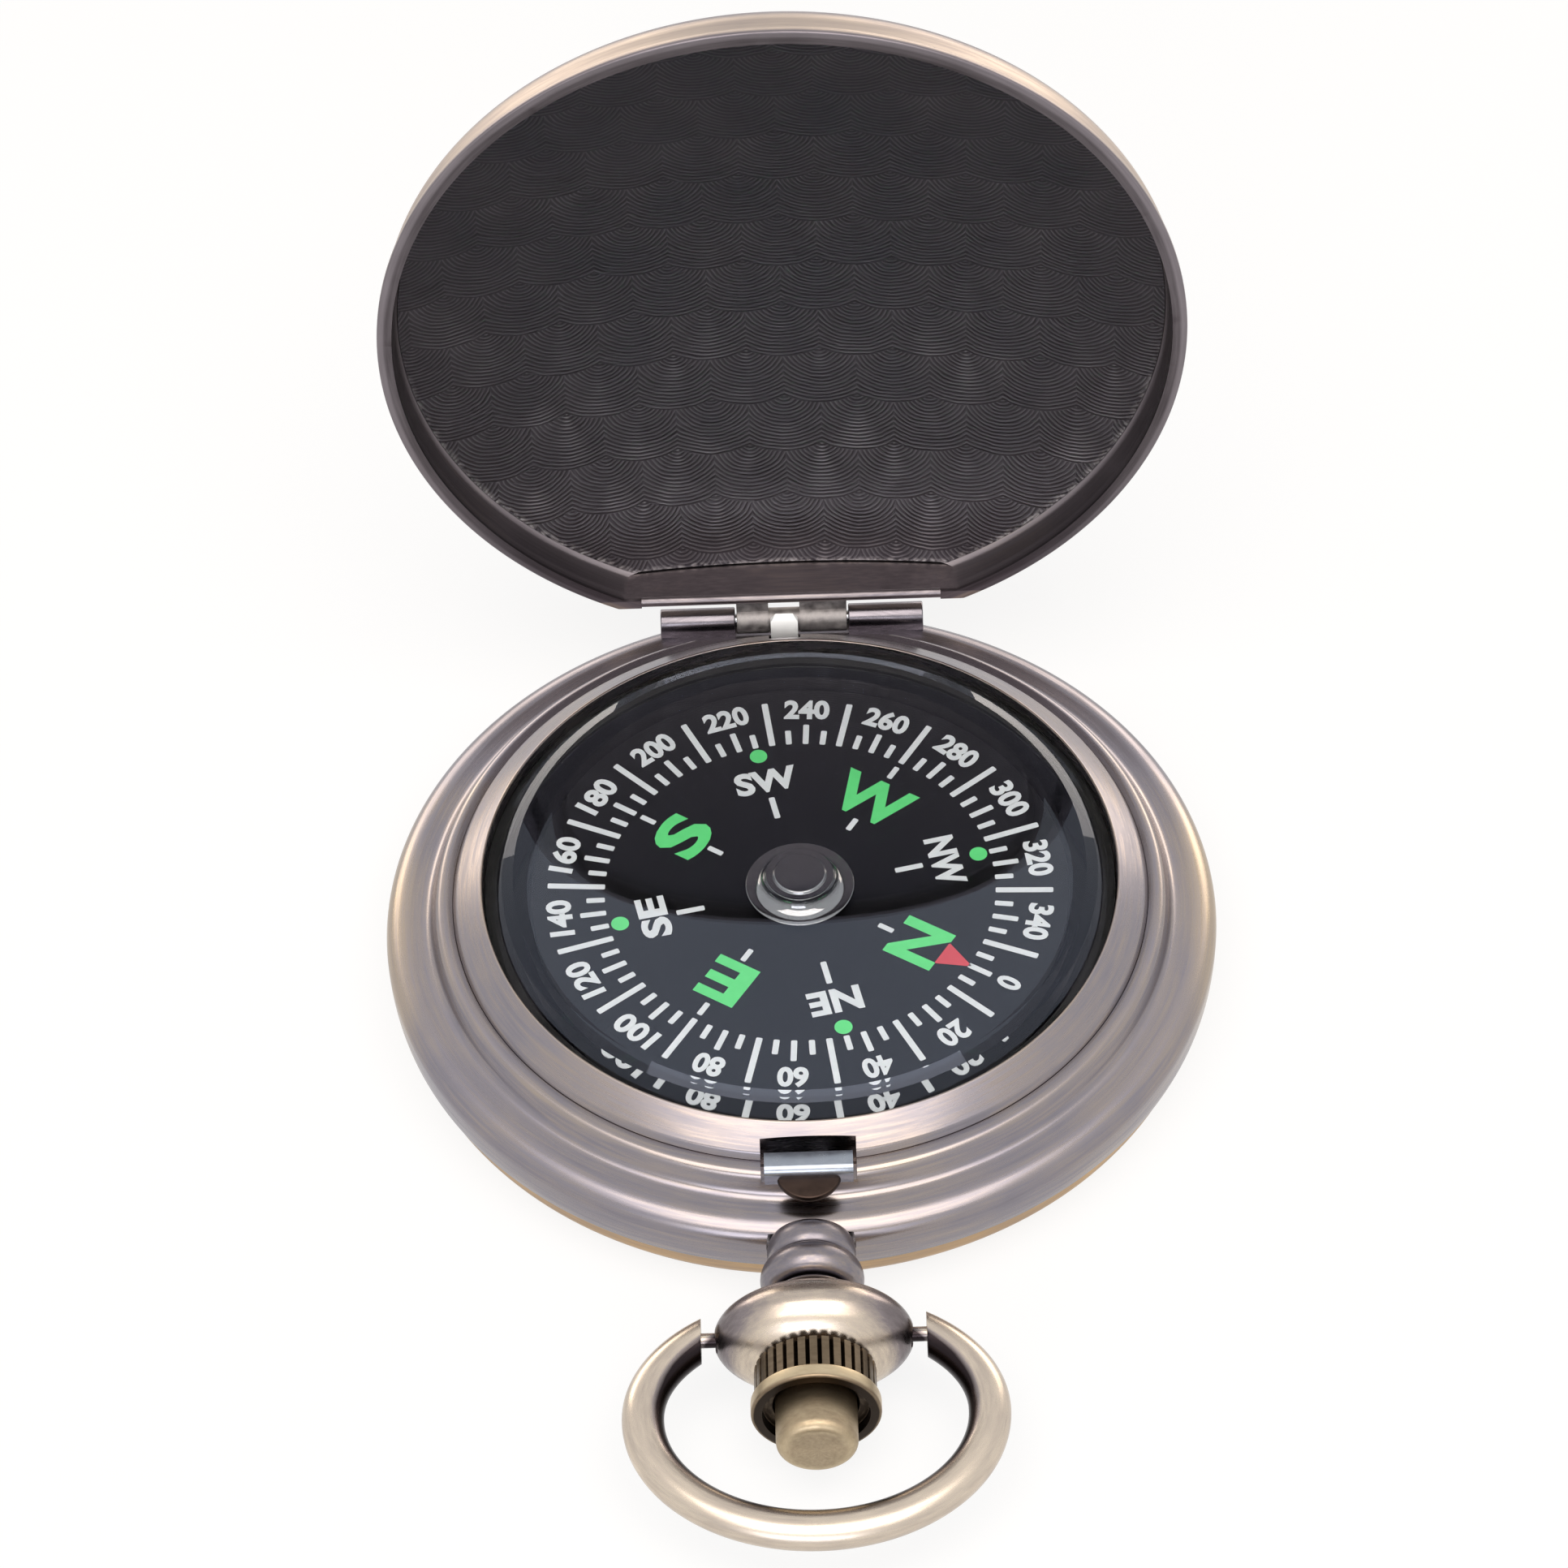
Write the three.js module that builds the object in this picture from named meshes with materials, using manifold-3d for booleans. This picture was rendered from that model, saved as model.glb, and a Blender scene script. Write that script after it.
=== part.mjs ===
// Pocket watch compass: a hinged-lid brass case around a compass card that floats on a needle.
// Millimetres, +Z up. The origin is the centre of the flat back that the case lies on.
// The hinge is towards +Y, and the pendant with its crown and bow towards -Y.

import * as THREE from 'three';
import { mergeVertices } from 'three/addons/utils/BufferGeometryUtils.js';
import Module from 'manifold-3d';

const wasm = await Module();
wasm.setup();

// Clearances
const FIT_GAP = 0.1;            // between rings that are pressed into each other
const SEAT_GAP = 0.05;          // between a piece and the face that it rests on
const RUN_GAP = 0.3;            // round pieces that move past each other
const CLOSE_GAP = 0.15;         // between the closed lid and the case

// Facets
const RING_SIDES = 44;
const SMALL_SIDES = 20;
const PIN_SIDES = 12;
const DOME_STEPS = 4;
const ROUND_STEPS = 4;

// Case: radii work inwards from the widest point, heights up from the back
const CASE_RADIUS = 23.5;
const SEAM_HEIGHT = 3.0;        // seam between the back cover and the middle ring
const EQUATOR_RISE = 1.9;       // from the seam to the widest point
const CREST_RISE = 1.15;        // from the widest point to the ledge
const CREST_ROUND = 1.45;       // radius taken up by the rounded crest
const SEAM_INSET = 0.3;         // the middle ring draws in by this much at the seam
const LEDGE_WIDTH = 1.55;       // ledge that the lip of the closed lid lies over
const STEP_WIDTH = 0.9;         // raised step inside the ledge
const STEP_HEIGHT = 1.35;
const CASE_WALL = 1.9;
const FLANGE_THICKNESS = 1.05;
const SHOULDER_WIDTH = 0.9;     // seat of the bezel inside the step

// Back cover
const BACK_INSET = 0.5;
const BACK_CURVE_WIDTH = 5.5;   // the flat back curves up over this width
const BACK_EDGE_HEIGHT = 1.1;   // straight edge below the seam
const BACK_THICKNESS = 0.8;
const SNAP_HEIGHT = 0.55;
const SNAP_WIDTH = 0.8;

// Bezel and crystal
const BEZEL_WIDTH = 1.66;
const BEZEL_HEIGHT = 2.35;
const BEZEL_SLOPE = 1.05;       // fall of its top face from the inner to the outer edge
const BEZEL_EDGE = 0.12;        // narrow flat at the inner edge
const CRYSTAL_SEAT_DEPTH = 1.2;
const CRYSTAL_EDGE = 0.8;
const CRYSTAL_BEVEL_WIDTH = 1.7;
const CRYSTAL_BEVEL_RISE = 0.75;
const CRYSTAL_RISE = 1.8;
const CRYSTAL_THICKNESS = 1.6;
const GASKET_THICKNESS = 0.35;

// Compass capsule
const CUP_WALL = 1.2;
const CUP_FLOOR = 0.8;
const HOLDER_FOOT = 0.3;
const HOLDER_FOOT_WIDTH = 2.2;
const CARD_MARGIN = 1.4;        // from the edge of the card to the wall of the cup
const CARD_DEPTH = 1.9;         // from the edge of the bezel down to the card
const CARD_THICKNESS = 0.35;
const CARD_NORTH = THREE.MathUtils.degToRad(-33);
const MAGNET_LENGTH = 15;
const MAGNET_WIDTH = 4.2;
const MAGNET_THICKNESS = 1.4;
const HUB_RADIUS = 3.05;
const HUB_STEP_RADIUS = 1.95;
const HUB_TOP_RADIUS = 1.43;
const HUB_HEIGHT = 1.3;
const HUB_FLANGE_HEIGHT = 0.45;
const HUB_BEVEL = 0.25;
const HUB_ROOF = 0.3;
const JEWEL_RADIUS = 1.1;
const JEWEL_HEIGHT = 0.9;
const JEWEL_CONE = 0.75;
const PIVOT_RADIUS = 0.7;
const PIVOT_POINT = 1.8;
const PIVOT_FOOT_RADIUS = 2.2;
const PIVOT_FOOT_HEIGHT = 0.8;

// Lid, described as it lies when closed
const LID_OPEN = THREE.MathUtils.degToRad(91);
const LIP_INSET = 0.73;         // the lip stands this far inside the widest point of the case
const LIP_WIDTH = 0.83;
const LIP_HEIGHT = 0.65;
const LIP_BEAD = 0.27;          // the lip stands proud of the rim by this much
const LID_WALL = 0.6;
const LID_RIM_DEPTH = 2.26;     // from the lip down to the edge of the inner plate
const LID_DOME = 2.9;
const LID_CORNER = 1.0;
const PLATE_THICKNESS = 0.4;
const CHORD_WALL = 0.66;
const CATCH_HEIGHT = 0.45;      // lip left below the pocket that the latch hooks into
const POCKET_WALL = 0.25;       // rim left outside that pocket

// Hinge
const HINGE_INSET = 1.64;       // axis inside the widest point of the case
const HINGE_RISE = 0.45;        // axis above the ledge
const HINGE_WIDTH = 15.5;
const KNUCKLE_RADIUS = 0.8;
const KNUCKLE_GAP = 0.35;
const LID_KNUCKLE_LENGTH = 6.0;
const PIN_RADIUS = 0.4;
const PIN_GAP = 0.15;
const CHORD_OFFSET = 1.55;      // from the axis to the flat side of the lid
const WEB_THICKNESS = 0.8;

// Lift spring
const SPRING_STRIP = 0.35;
const SPRING_HEIGHT = 1.3;
const TIP_WIDTH = 1.6;
const TIP_OFFSET = -0.45;
const TIP_BACKSET = 0.94;       // from the hinge axis to the middle of the tip
const TIP_RISE = 0.85;          // above the hinge axis
const LIFT_SPRING_SPAN = THREE.MathUtils.degToRad(44);
const FOOT_THICKNESS = 0.25;
const FOOT_WIDTH = 1.9;
const FOOT_TAIL = 1.3;          // from the head of the screw to the end of the foot

// Spring screws
const SCREW_RADIUS = 0.45;
const SCREW_DEPTH = 0.75;
const SCREW_HEAD_RADIUS = 0.85;
const SCREW_HEAD_HEIGHT = 0.55;
const SCREW_SLOT = 0.28;

// Latch
const NOTCH_WIDTH = 5.2;
const BOLT_WIDTH = 4.4;
const BOLT_THICKNESS = 0.4;
const BOLT_DROP = 2.15;         // below the ledge
const BOLT_TRAVEL = 0.8;
const BOLT_SETBACK = 0.4;       // from the face of the step to the face of the bolt
const NOSE_WIDTH = 4.0;
const NOSE_HEIGHT = 0.45;
const LATCH_SPRING_SPAN = THREE.MathUtils.degToRad(46);

// Pendant, along -Y from the case
const NECK_SEAT = 0.4;          // depth of the seat sunk into the side of the case
const NECK_WAIST = 2.0;
const BEAD_RADII = [2.5, 2.35];
const BEAD_LENGTH = 1.65;
const NECK_TAIL = 0.8;          // plain end towards the bulb
const BULB_HALF_WIDTH = 5.35;
const BULB_HALF_DEPTH = 4.0;
const BULB_LENGTH = 4.4;        // between its flat ends
const BULB_ROUND = 0.35;        // the full ellipsoid goes past each flat end by this much
const BULB_FLOOR = 0.7;
const SPRING_BORE = 1.6;

// Crown, button and stem
const CROWN_RADIUS = 3.46;
const CROWN_LENGTH = 2.75;
const CROWN_BAND = 0.8;
const CROWN_BACK = 0.55;
const CROWN_RECESS = 0.6;
const CROWN_RIM = 0.6;
const FLUTES = 26;
const FLUTE_DEPTH = 0.28;
const BUTTON_RADIUS = 2.17;
const BUTTON_REACH = 2.3;       // past the face of the crown
const BUTTON_ROUND = 0.6;
const BUTTON_TRAVEL = BOLT_TRAVEL;
const STEM_RADIUS = 0.45;
const STEM_GRIP = 1.3;          // length of the stem inside the button
const CLIP_RADIUS = 1.05;
const CLIP_THICKNESS = 0.4;
const COIL_RADIUS = 1.15;
const COIL_WIRE = 0.2;
const COIL_TURNS = 4.5;
const COIL_STEPS = 40;
const COIL_SIDES = 5;

// Bow
const BOW_WIRE = 1.12;
const BOW_WIRE_FLAT = 0.95;     // half thickness across the plane of the bow
const BOW_HALF_WIDTH = 9.12;    // to the middle of the wire
const BOW_SHOULDER = 5.0;       // from the pivot to the widest place
const BOW_DROP = 7.3;           // from the widest place to the end of the bow
const BOW_END_GAP = 0.65;       // from the side of the bulb to the end of the wire
const BOW_PIN_RADIUS = 0.4;
const BOW_PIN_SEAT = 0.8;       // length of the pin inside the bulb
const BOW_STEPS = 34;
const BOW_SIDES = 8;

// Derived case sizes
const equatorZ = SEAM_HEIGHT + EQUATOR_RISE;
const ledgeZ = equatorZ + CREST_RISE;
const crestRadius = CASE_RADIUS - CREST_ROUND;
const stepRadius = crestRadius - LEDGE_WIDTH;
const bezelBore = stepRadius - STEP_WIDTH;
const shoulderRadius = bezelBore - SHOULDER_WIDTH;
const stepTopZ = ledgeZ + STEP_HEIGHT;
const flangeZ = ledgeZ - FLANGE_THICKNESS;
const caseBore = CASE_RADIUS - CASE_WALL;
const bezelRadius = bezelBore - FIT_GAP;
const bezelInner = bezelRadius - BEZEL_WIDTH;
const bezelTopZ = ledgeZ + BEZEL_HEIGHT;

// Derived capsule sizes
const crystalRadius = bezelInner - FIT_GAP;
const crystalZ = bezelTopZ - CRYSTAL_SEAT_DEPTH;
const cupRadius = crystalRadius - FIT_GAP;
const cupBore = cupRadius - CUP_WALL;
const cupTopZ = crystalZ - GASKET_THICKNESS - 2 * SEAT_GAP;
const holderZ = BACK_THICKNESS + SEAT_GAP;
const cupZ = holderZ + HOLDER_FOOT + SEAT_GAP;
const cupFloorZ = cupZ + CUP_FLOOR;
const holderRadius = shoulderRadius - FIT_GAP;
const cardRadius = cupBore - CARD_MARGIN;
const cardTopZ = bezelTopZ - CARD_DEPTH;
const cardZ = cardTopZ - CARD_THICKNESS;
const hubTopZ = cardTopZ + SEAT_GAP + HUB_HEIGHT;
const jewelTopZ = hubTopZ - HUB_ROOF - SEAT_GAP;
const jewelZ = jewelTopZ - JEWEL_HEIGHT;
const pivotTipZ = jewelZ + JEWEL_CONE - CLOSE_GAP;
const cardHole = JEWEL_RADIUS + RUN_GAP;

// Derived lid and hinge sizes
const hingeY = CASE_RADIUS - HINGE_INSET;
const hingeZ = ledgeZ + HINGE_RISE;
const lipRadius = CASE_RADIUS - LIP_INSET;
const lipInner = lipRadius - LIP_WIDTH;
const lipZ = ledgeZ + CLOSE_GAP;
const rimRadius = lipRadius - LIP_BEAD;
const rimInner = rimRadius - LID_WALL;
const plateRadius = rimInner - FIT_GAP;
const plateZ = lipZ + LID_RIM_DEPTH;
const cavityZ = plateZ + PLATE_THICKNESS + FIT_GAP;
const shellZ = cavityZ + LID_WALL;
const chordY = hingeY - CHORD_OFFSET;
const chordInnerY = chordY - CHORD_WALL;
const stepFlatY = chordInnerY - CLOSE_GAP;

// Derived latch sizes
const boltY = -(stepRadius - BOLT_SETBACK);
const boltBackY = boltY + BOLT_THICKNESS;
const notchY = boltBackY + BOLT_TRAVEL + RUN_GAP;
const catchTopZ = lipZ + CATCH_HEIGHT;
const noseZ = catchTopZ + CLOSE_GAP;
const pocketY = -(rimRadius - POCKET_WALL);
const noseReach = boltY - pocketY - FIT_GAP;

// Derived pendant sizes
const neckY = -(CASE_RADIUS - NECK_SEAT);
const neckEndY = neckY - BEAD_RADII.length * BEAD_LENGTH - NECK_TAIL;
const bulbTopY = neckEndY - SEAT_GAP;
const bulbY = bulbTopY - BULB_LENGTH / 2;
const bulbEndY = bulbTopY - BULB_LENGTH;
const crownY = bulbEndY - SEAT_GAP;
const crownFaceY = crownY - CROWN_LENGTH;
const buttonEndY = crownFaceY - BUTTON_REACH;
const buttonBore = BUTTON_RADIUS + FIT_GAP;
const buttonInnerY = crownY - CROWN_BACK - BUTTON_TRAVEL - FIT_GAP;
const coilSeatY = bulbTopY - BULB_FLOOR;
const stemHole = STEM_RADIUS + CLOSE_GAP;
const stemY = boltY - CLOSE_GAP;
const stemEndY = buttonInnerY - STEM_GRIP;
const clipY = bulbTopY + CLOSE_GAP;
const clipBore = CLIP_RADIUS + CLOSE_GAP;

// A solid for cutting and joining, from a closed geometry
function solid(geometry) {
  geometry.deleteAttribute('normal');
  geometry.deleteAttribute('uv');
  const merged = mergeVertices(geometry);
  const corners = merged.index.array;
  const triangles = [];
  for (let i = 0; i < corners.length; i += 3) {
    const [a, b, c] = corners.slice(i, i + 3);
    if (a !== b && b !== c && c !== a) triangles.push(a, b, c);
  }
  const vertProperties = new Float32Array(merged.attributes.position.array);
  const triVerts = new Uint32Array(triangles);
  return new wasm.Manifold(new wasm.Mesh({ numProp: 3, vertProperties, triVerts }));
}

// A named mesh from a solid
function piece(name, body, material) {
  const { vertProperties, triVerts } = body.getMesh();
  const geometry = new THREE.BufferGeometry();
  geometry.setAttribute('position', new THREE.BufferAttribute(vertProperties, 3));
  geometry.setIndex(new THREE.BufferAttribute(triVerts, 1));
  geometry.computeVertexNormals();
  const mesh = new THREE.Mesh(geometry, material);
  mesh.name = name;
  return mesh;
}

function joined(...bodies) {
  return bodies.reduce((whole, body) => whole.add(body));
}

function cut(body, ...tools) {
  return tools.reduce((whole, tool) => whole.subtract(tool), body);
}

// A profile of [radius, height] points, run anticlockwise, turned about the Y axis
function turnedY(profile, sides = SMALL_SIDES) {
  const points = profile.map(([radius, height]) => new THREE.Vector2(radius, height));
  return new THREE.LatheGeometry(points, sides);
}

// The same about the Z axis
function turned(profile, sides = RING_SIDES) {
  return solid(turnedY(profile, sides).rotateX(Math.PI / 2));
}

// A profile turned about the pendant's axis, which lies along Y at the height of the equator
function pendant(profile, sides = SMALL_SIDES) {
  return solid(turnedY(profile, sides).translate(0, 0, equatorZ));
}

function ring(inner, outer, low, high) {
  return [[inner, low], [outer, low], [outer, high], [inner, high], [inner, low]];
}

function rod(radius, low, high) {
  return [[0, low], [radius, low], [radius, high], [0, high]];
}

function box(x, y, z) {
  const size = [x, y, z].map(([low, high]) => high - low);
  const middle = [x, y, z].map(([low, high]) => (low + high) / 2);
  return solid(new THREE.BoxGeometry(...size).translate(...middle));
}

// A round bar along X
function across(radius, x, y, z) {
  const length = x[1] - x[0];
  const bar = new THREE.CylinderGeometry(radius, radius, length, PIN_SIDES).rotateZ(Math.PI / 2);
  return solid(bar.translate((x[0] + x[1]) / 2, y, z));
}

// An arc of an ellipse in a profile, between two angles in quarter turns
function arc(centre, radii, from, to, steps) {
  return Array.from({ length: steps + 1 }, (_, i) => {
    const angle = (from + (to - from) * i / steps) * Math.PI / 2;
    return [centre[0] + radii[0] * Math.cos(angle), centre[1] + radii[1] * Math.sin(angle)];
  });
}

// A shallow dome in a profile, from its edge to its top on the axis
function dome(edgeRadius, edgeHeight, rise, steps) {
  const sphere = (edgeRadius ** 2 + rise ** 2) / (2 * rise);
  const reach = Math.asin(edgeRadius / sphere);
  return Array.from({ length: steps + 1 }, (_, i) => {
    const angle = reach * (1 - i / steps);
    const height = edgeHeight + rise - sphere * (1 - Math.cos(angle));
    return [i < steps ? sphere * Math.sin(angle) : 0, height];
  });
}

// A band between two radii and two angles, standing from low to high
function band(inner, outer, from, to, low, high) {
  const shape = new THREE.Shape();
  shape.absarc(0, 0, outer, from, to, false);
  shape.absarc(0, 0, inner, to, from, true);
  const options = { depth: high - low, bevelEnabled: false, curveSegments: SMALL_SIDES / 2 };
  return solid(new THREE.ExtrudeGeometry(shape, options).translate(0, 0, low));
}

function metal(color, roughness) {
  return new THREE.MeshStandardMaterial({ color, roughness, metalness: 1 });
}

function plastic(color, roughness) {
  return new THREE.MeshStandardMaterial({ color, roughness, metalness: 0 });
}

const antiqueBrass = () => metal(0x8f8272, 0.42);
const darkBrass = () => metal(0x6f655c, 0.45);
const steel = () => metal(0xb8babd, 0.3);
const chrome = () => metal(0xd8d8da, 0.12);
const model = new THREE.Group();
model.name = 'pocket_watch_compass';

// Back cover, a dish with a snap rim that goes up into the bore of the case
function backCover() {
  const outer = CASE_RADIUS - BACK_INSET;
  const edgeZ = SEAM_HEIGHT - BACK_EDGE_HEIGHT;
  const snap = caseBore - FIT_GAP;
  const inner = snap - SNAP_WIDTH;
  const topZ = SEAM_HEIGHT - SEAT_GAP;
  const profile = [
    [0, 0],
    ...arc([outer - BACK_CURVE_WIDTH, edgeZ], [BACK_CURVE_WIDTH, edgeZ], -1, 0, ROUND_STEPS),
    [outer, topZ],
    [snap, topZ],
    [snap, topZ + SNAP_HEIGHT],
    [inner, topZ + SNAP_HEIGHT],
    [inner, edgeZ + BACK_THICKNESS / 2],
    [inner - edgeZ, BACK_THICKNESS],
    [0, BACK_THICKNESS],
  ];
  return turned(profile);
}
model.add(piece('back_cover', backCover(), antiqueBrass()));

// Places of the two spring screws, in the floor of the flange
const screwRadius = (stepRadius + bezelBore) / 2;
const liftAngle = Math.PI / 2 + LIFT_SPRING_SPAN;
const latchAngle = -Math.PI / 2 - LATCH_SPRING_SPAN;

function screwPlace(angle) {
  return [screwRadius * Math.cos(angle), screwRadius * Math.sin(angle)];
}

function screwRod(radius, angle, low, high) {
  const [x, y] = screwPlace(angle);
  return turned(rod(radius, low, high), PIN_SIDES).translate([x, y, 0]);
}

// Middle ring of the case, with the ledge, the raised step and two hinge knuckles
const caseKnuckleStart = LID_KNUCKLE_LENGTH / 2 + KNUCKLE_GAP;
const tipX = [TIP_OFFSET - TIP_WIDTH / 2, TIP_OFFSET + TIP_WIDTH / 2];
const tipY = [hingeY - TIP_BACKSET - SPRING_STRIP / 2, hingeY - TIP_BACKSET + SPRING_STRIP / 2];

function widened([low, high], gap) {
  return [low - gap, high + gap];
}

function caseBody() {
  const profile = [
    [caseBore, SEAM_HEIGHT],
    ...arc([CASE_RADIUS - SEAM_INSET, equatorZ], [SEAM_INSET, EQUATOR_RISE], -1, 0, ROUND_STEPS / 2),
    ...arc([crestRadius, equatorZ], [CREST_ROUND, CREST_RISE], 0, 1, ROUND_STEPS).slice(1),
    [stepRadius, ledgeZ],
    [stepRadius, stepTopZ],
    [bezelBore, stepTopZ],
    [bezelBore, ledgeZ],
    [shoulderRadius, ledgeZ],
    [shoulderRadius, flangeZ],
    [caseBore, flangeZ],
    [caseBore, SEAM_HEIGHT],
  ];
  const above = [ledgeZ, bezelTopZ];
  const behindFlat = box([-CASE_RADIUS, CASE_RADIUS], [stepFlatY, CASE_RADIUS], above);
  const notch = box([-NOTCH_WIDTH / 2, NOTCH_WIDTH / 2], [-crestRadius, notchY], above);
  const boltSlot = box(
    widened([-BOLT_WIDTH / 2, BOLT_WIDTH / 2], FIT_GAP),
    [boltY - FIT_GAP, notchY],
    [equatorZ, stepTopZ],
  );
  const stemBore = pendant(rod(stemHole, -CASE_RADIUS, notchY), PIN_SIDES);
  const neckSeat = pendant(rod(BEAD_RADII[0] + FIT_GAP, -2 * CASE_RADIUS, neckY + SEAT_GAP));
  const knuckleWell = across(KNUCKLE_RADIUS + RUN_GAP,
    [-caseKnuckleStart, caseKnuckleStart], hingeY, hingeZ);
  const tipSlot = box(widened(tipX, RUN_GAP), widened(tipY, RUN_GAP), [equatorZ, stepTopZ]);
  const screwHoles = [liftAngle, latchAngle].map((angle) =>
    screwRod(SCREW_RADIUS + FIT_GAP, angle, equatorZ, flangeZ + SCREW_DEPTH + FIT_GAP));
  const pierced = cut(turned(profile), behindFlat, notch, boltSlot, stemBore, neckSeat,
    knuckleWell, tipSlot, ...screwHoles);
  const knuckles = [-1, 1].map((side) => {
    const reach = [side * caseKnuckleStart, side * HINGE_WIDTH / 2].sort((a, b) => a - b);
    const saddleY = [hingeY - KNUCKLE_RADIUS, hingeY];
    const saddle = box(reach, saddleY, [flangeZ, hingeZ]);
    return joined(saddle, across(KNUCKLE_RADIUS, reach, hingeY, hingeZ));
  });
  const pinHole = across(PIN_RADIUS + SEAT_GAP, [-HINGE_WIDTH, HINGE_WIDTH], hingeY, hingeZ);
  return cut(joined(pierced, ...knuckles), pinHole);
}
model.add(piece('case_body', caseBody(), antiqueBrass()));

// Hinge pin
const pinReach = HINGE_WIDTH / 2 - FIT_GAP;
model.add(piece('hinge_pin', across(PIN_RADIUS, [-pinReach, pinReach], hingeY, hingeZ), steel()));

// Bezel ring, notched over the latch bolt
function bezelRing() {
  const profile = [
    [bezelInner, ledgeZ],
    [bezelRadius, ledgeZ],
    [bezelRadius, bezelTopZ - BEZEL_SLOPE],
    [bezelInner + BEZEL_EDGE, bezelTopZ],
    [bezelInner, bezelTopZ],
    [bezelInner, ledgeZ],
  ];
  const notchReach = [-CASE_RADIUS, notchY];
  const notch = box([-NOTCH_WIDTH / 2, NOTCH_WIDTH / 2], notchReach, [flangeZ, bezelTopZ]);
  return cut(turned(profile), notch);
}
model.add(piece('bezel_ring', bezelRing(), antiqueBrass()));

// Crystal, a dome with a bevelled edge, and the gasket under it
function crystal() {
  const domeRadius = crystalRadius - CRYSTAL_BEVEL_WIDTH;
  const domeZ = crystalZ + CRYSTAL_EDGE + CRYSTAL_BEVEL_RISE;
  const innerRise = domeZ + CRYSTAL_RISE - CRYSTAL_THICKNESS - crystalZ;
  const profile = [
    ...dome(domeRadius, crystalZ, innerRise, DOME_STEPS).reverse(),
    [crystalRadius, crystalZ],
    [crystalRadius, crystalZ + CRYSTAL_EDGE],
    ...dome(domeRadius, domeZ, CRYSTAL_RISE, DOME_STEPS),
  ];
  return turned(profile);
}
const clear = plastic(0xf4f6f8, 0.05);
clear.transparent = true;
clear.opacity = 0.25;
model.add(piece('crystal', crystal(), clear));

const gasket = ring(cupBore, cupRadius, cupTopZ + SEAT_GAP, crystalZ - SEAT_GAP);
model.add(piece('crystal_gasket', turned(gasket), plastic(0x17171a, 0.7)));

// Capsule cup and the ring that holds it in the middle of the case
const cup = [
  [0, cupZ],
  [cupRadius, cupZ],
  [cupRadius, cupTopZ],
  [cupBore, cupTopZ],
  [cupBore, cupFloorZ],
  [0, cupFloorZ],
];
model.add(piece('capsule_cup', turned(cup), plastic(0x141417, 0.5)));

const holderInner = cupRadius + FIT_GAP;
const holderFootRadius = holderInner - HOLDER_FOOT_WIDTH;
const holder = [
  [holderFootRadius, holderZ],
  [holderRadius, holderZ],
  [holderRadius, ledgeZ - SEAT_GAP],
  [holderInner, ledgeZ - SEAT_GAP],
  [holderInner, holderZ + HOLDER_FOOT],
  [holderFootRadius, holderZ + HOLDER_FOOT],
  [holderFootRadius, holderZ],
];
model.add(piece('capsule_holder', turned(holder), plastic(0x2a2a2e, 0.6)));

// Needle that the card floats on
const pivotZ = cupFloorZ + SEAT_GAP;
const pivot = [
  [0, pivotZ],
  [PIVOT_FOOT_RADIUS, pivotZ],
  [PIVOT_FOOT_RADIUS, pivotZ + PIVOT_FOOT_HEIGHT],
  [PIVOT_RADIUS, pivotZ + PIVOT_FOOT_HEIGHT],
  [PIVOT_RADIUS, pivotTipZ - PIVOT_POINT],
  [0, pivotTipZ],
];
model.add(piece('pivot_post', turned(pivot, SMALL_SIDES), steel()));

// Floating card with its magnet, hub cap and jewel
const floating = new THREE.Group();
model.add(floating);

const card = ring(cardHole, cardRadius, cardZ, cardTopZ);
floating.add(piece('compass_card', turned(card), plastic(0x17171b, 0.45)));

const magnetTopZ = cardZ - SEAT_GAP;
const magnetBar = box(
  [-MAGNET_LENGTH / 2, MAGNET_LENGTH / 2],
  [-MAGNET_WIDTH / 2, MAGNET_WIDTH / 2],
  [magnetTopZ - MAGNET_THICKNESS, magnetTopZ],
);
const magnetHole = turned(rod(cardHole, cupFloorZ, cardTopZ), SMALL_SIDES);
const magnet = piece('card_magnet', cut(magnetBar, magnetHole), metal(0x5b5c60, 0.5));
magnet.rotation.z = CARD_NORTH;
floating.add(magnet);

const hubZ = cardTopZ + SEAT_GAP;
const hubBore = JEWEL_RADIUS + SEAT_GAP;
const hubFlangeZ = hubZ + HUB_FLANGE_HEIGHT;
const hub = [
  [0, hubTopZ - HUB_ROOF],
  [hubBore, hubTopZ - HUB_ROOF],
  [hubBore, hubZ],
  [HUB_RADIUS, hubZ],
  [HUB_RADIUS, hubFlangeZ - HUB_BEVEL],
  [HUB_RADIUS - HUB_BEVEL, hubFlangeZ],
  [HUB_STEP_RADIUS, hubFlangeZ],
  [HUB_STEP_RADIUS, hubTopZ - HUB_BEVEL],
  [HUB_TOP_RADIUS, hubTopZ],
  [0, hubTopZ],
];
floating.add(piece('hub_cap', turned(hub, SMALL_SIDES), chrome()));

const jewel = [
  [0, jewelZ + JEWEL_CONE],
  [JEWEL_CONE, jewelZ],
  [JEWEL_RADIUS, jewelZ],
  [JEWEL_RADIUS, jewelTopZ],
  [0, jewelTopZ],
];
floating.add(piece('jewel_cup', turned(jewel, SMALL_SIDES), plastic(0x8a1f3a, 0.2)));

// Lid, modelled closed about the hinge axis and then swung open
const lid = new THREE.Group();
lid.position.set(0, hingeY, hingeZ);
lid.rotation.x = -LID_OPEN;
model.add(lid);

function lidPiece(name, body, material) {
  lid.add(piece(name, body.translate([0, -hingeY, -hingeZ]), material));
}

// The space on the pendant's side of a plane across the lid
function insideChord(limitY) {
  const wide = [-CASE_RADIUS, CASE_RADIUS];
  return box(wide, [-CASE_RADIUS, limitY], [0, 2 * CASE_RADIUS]);
}

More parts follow.
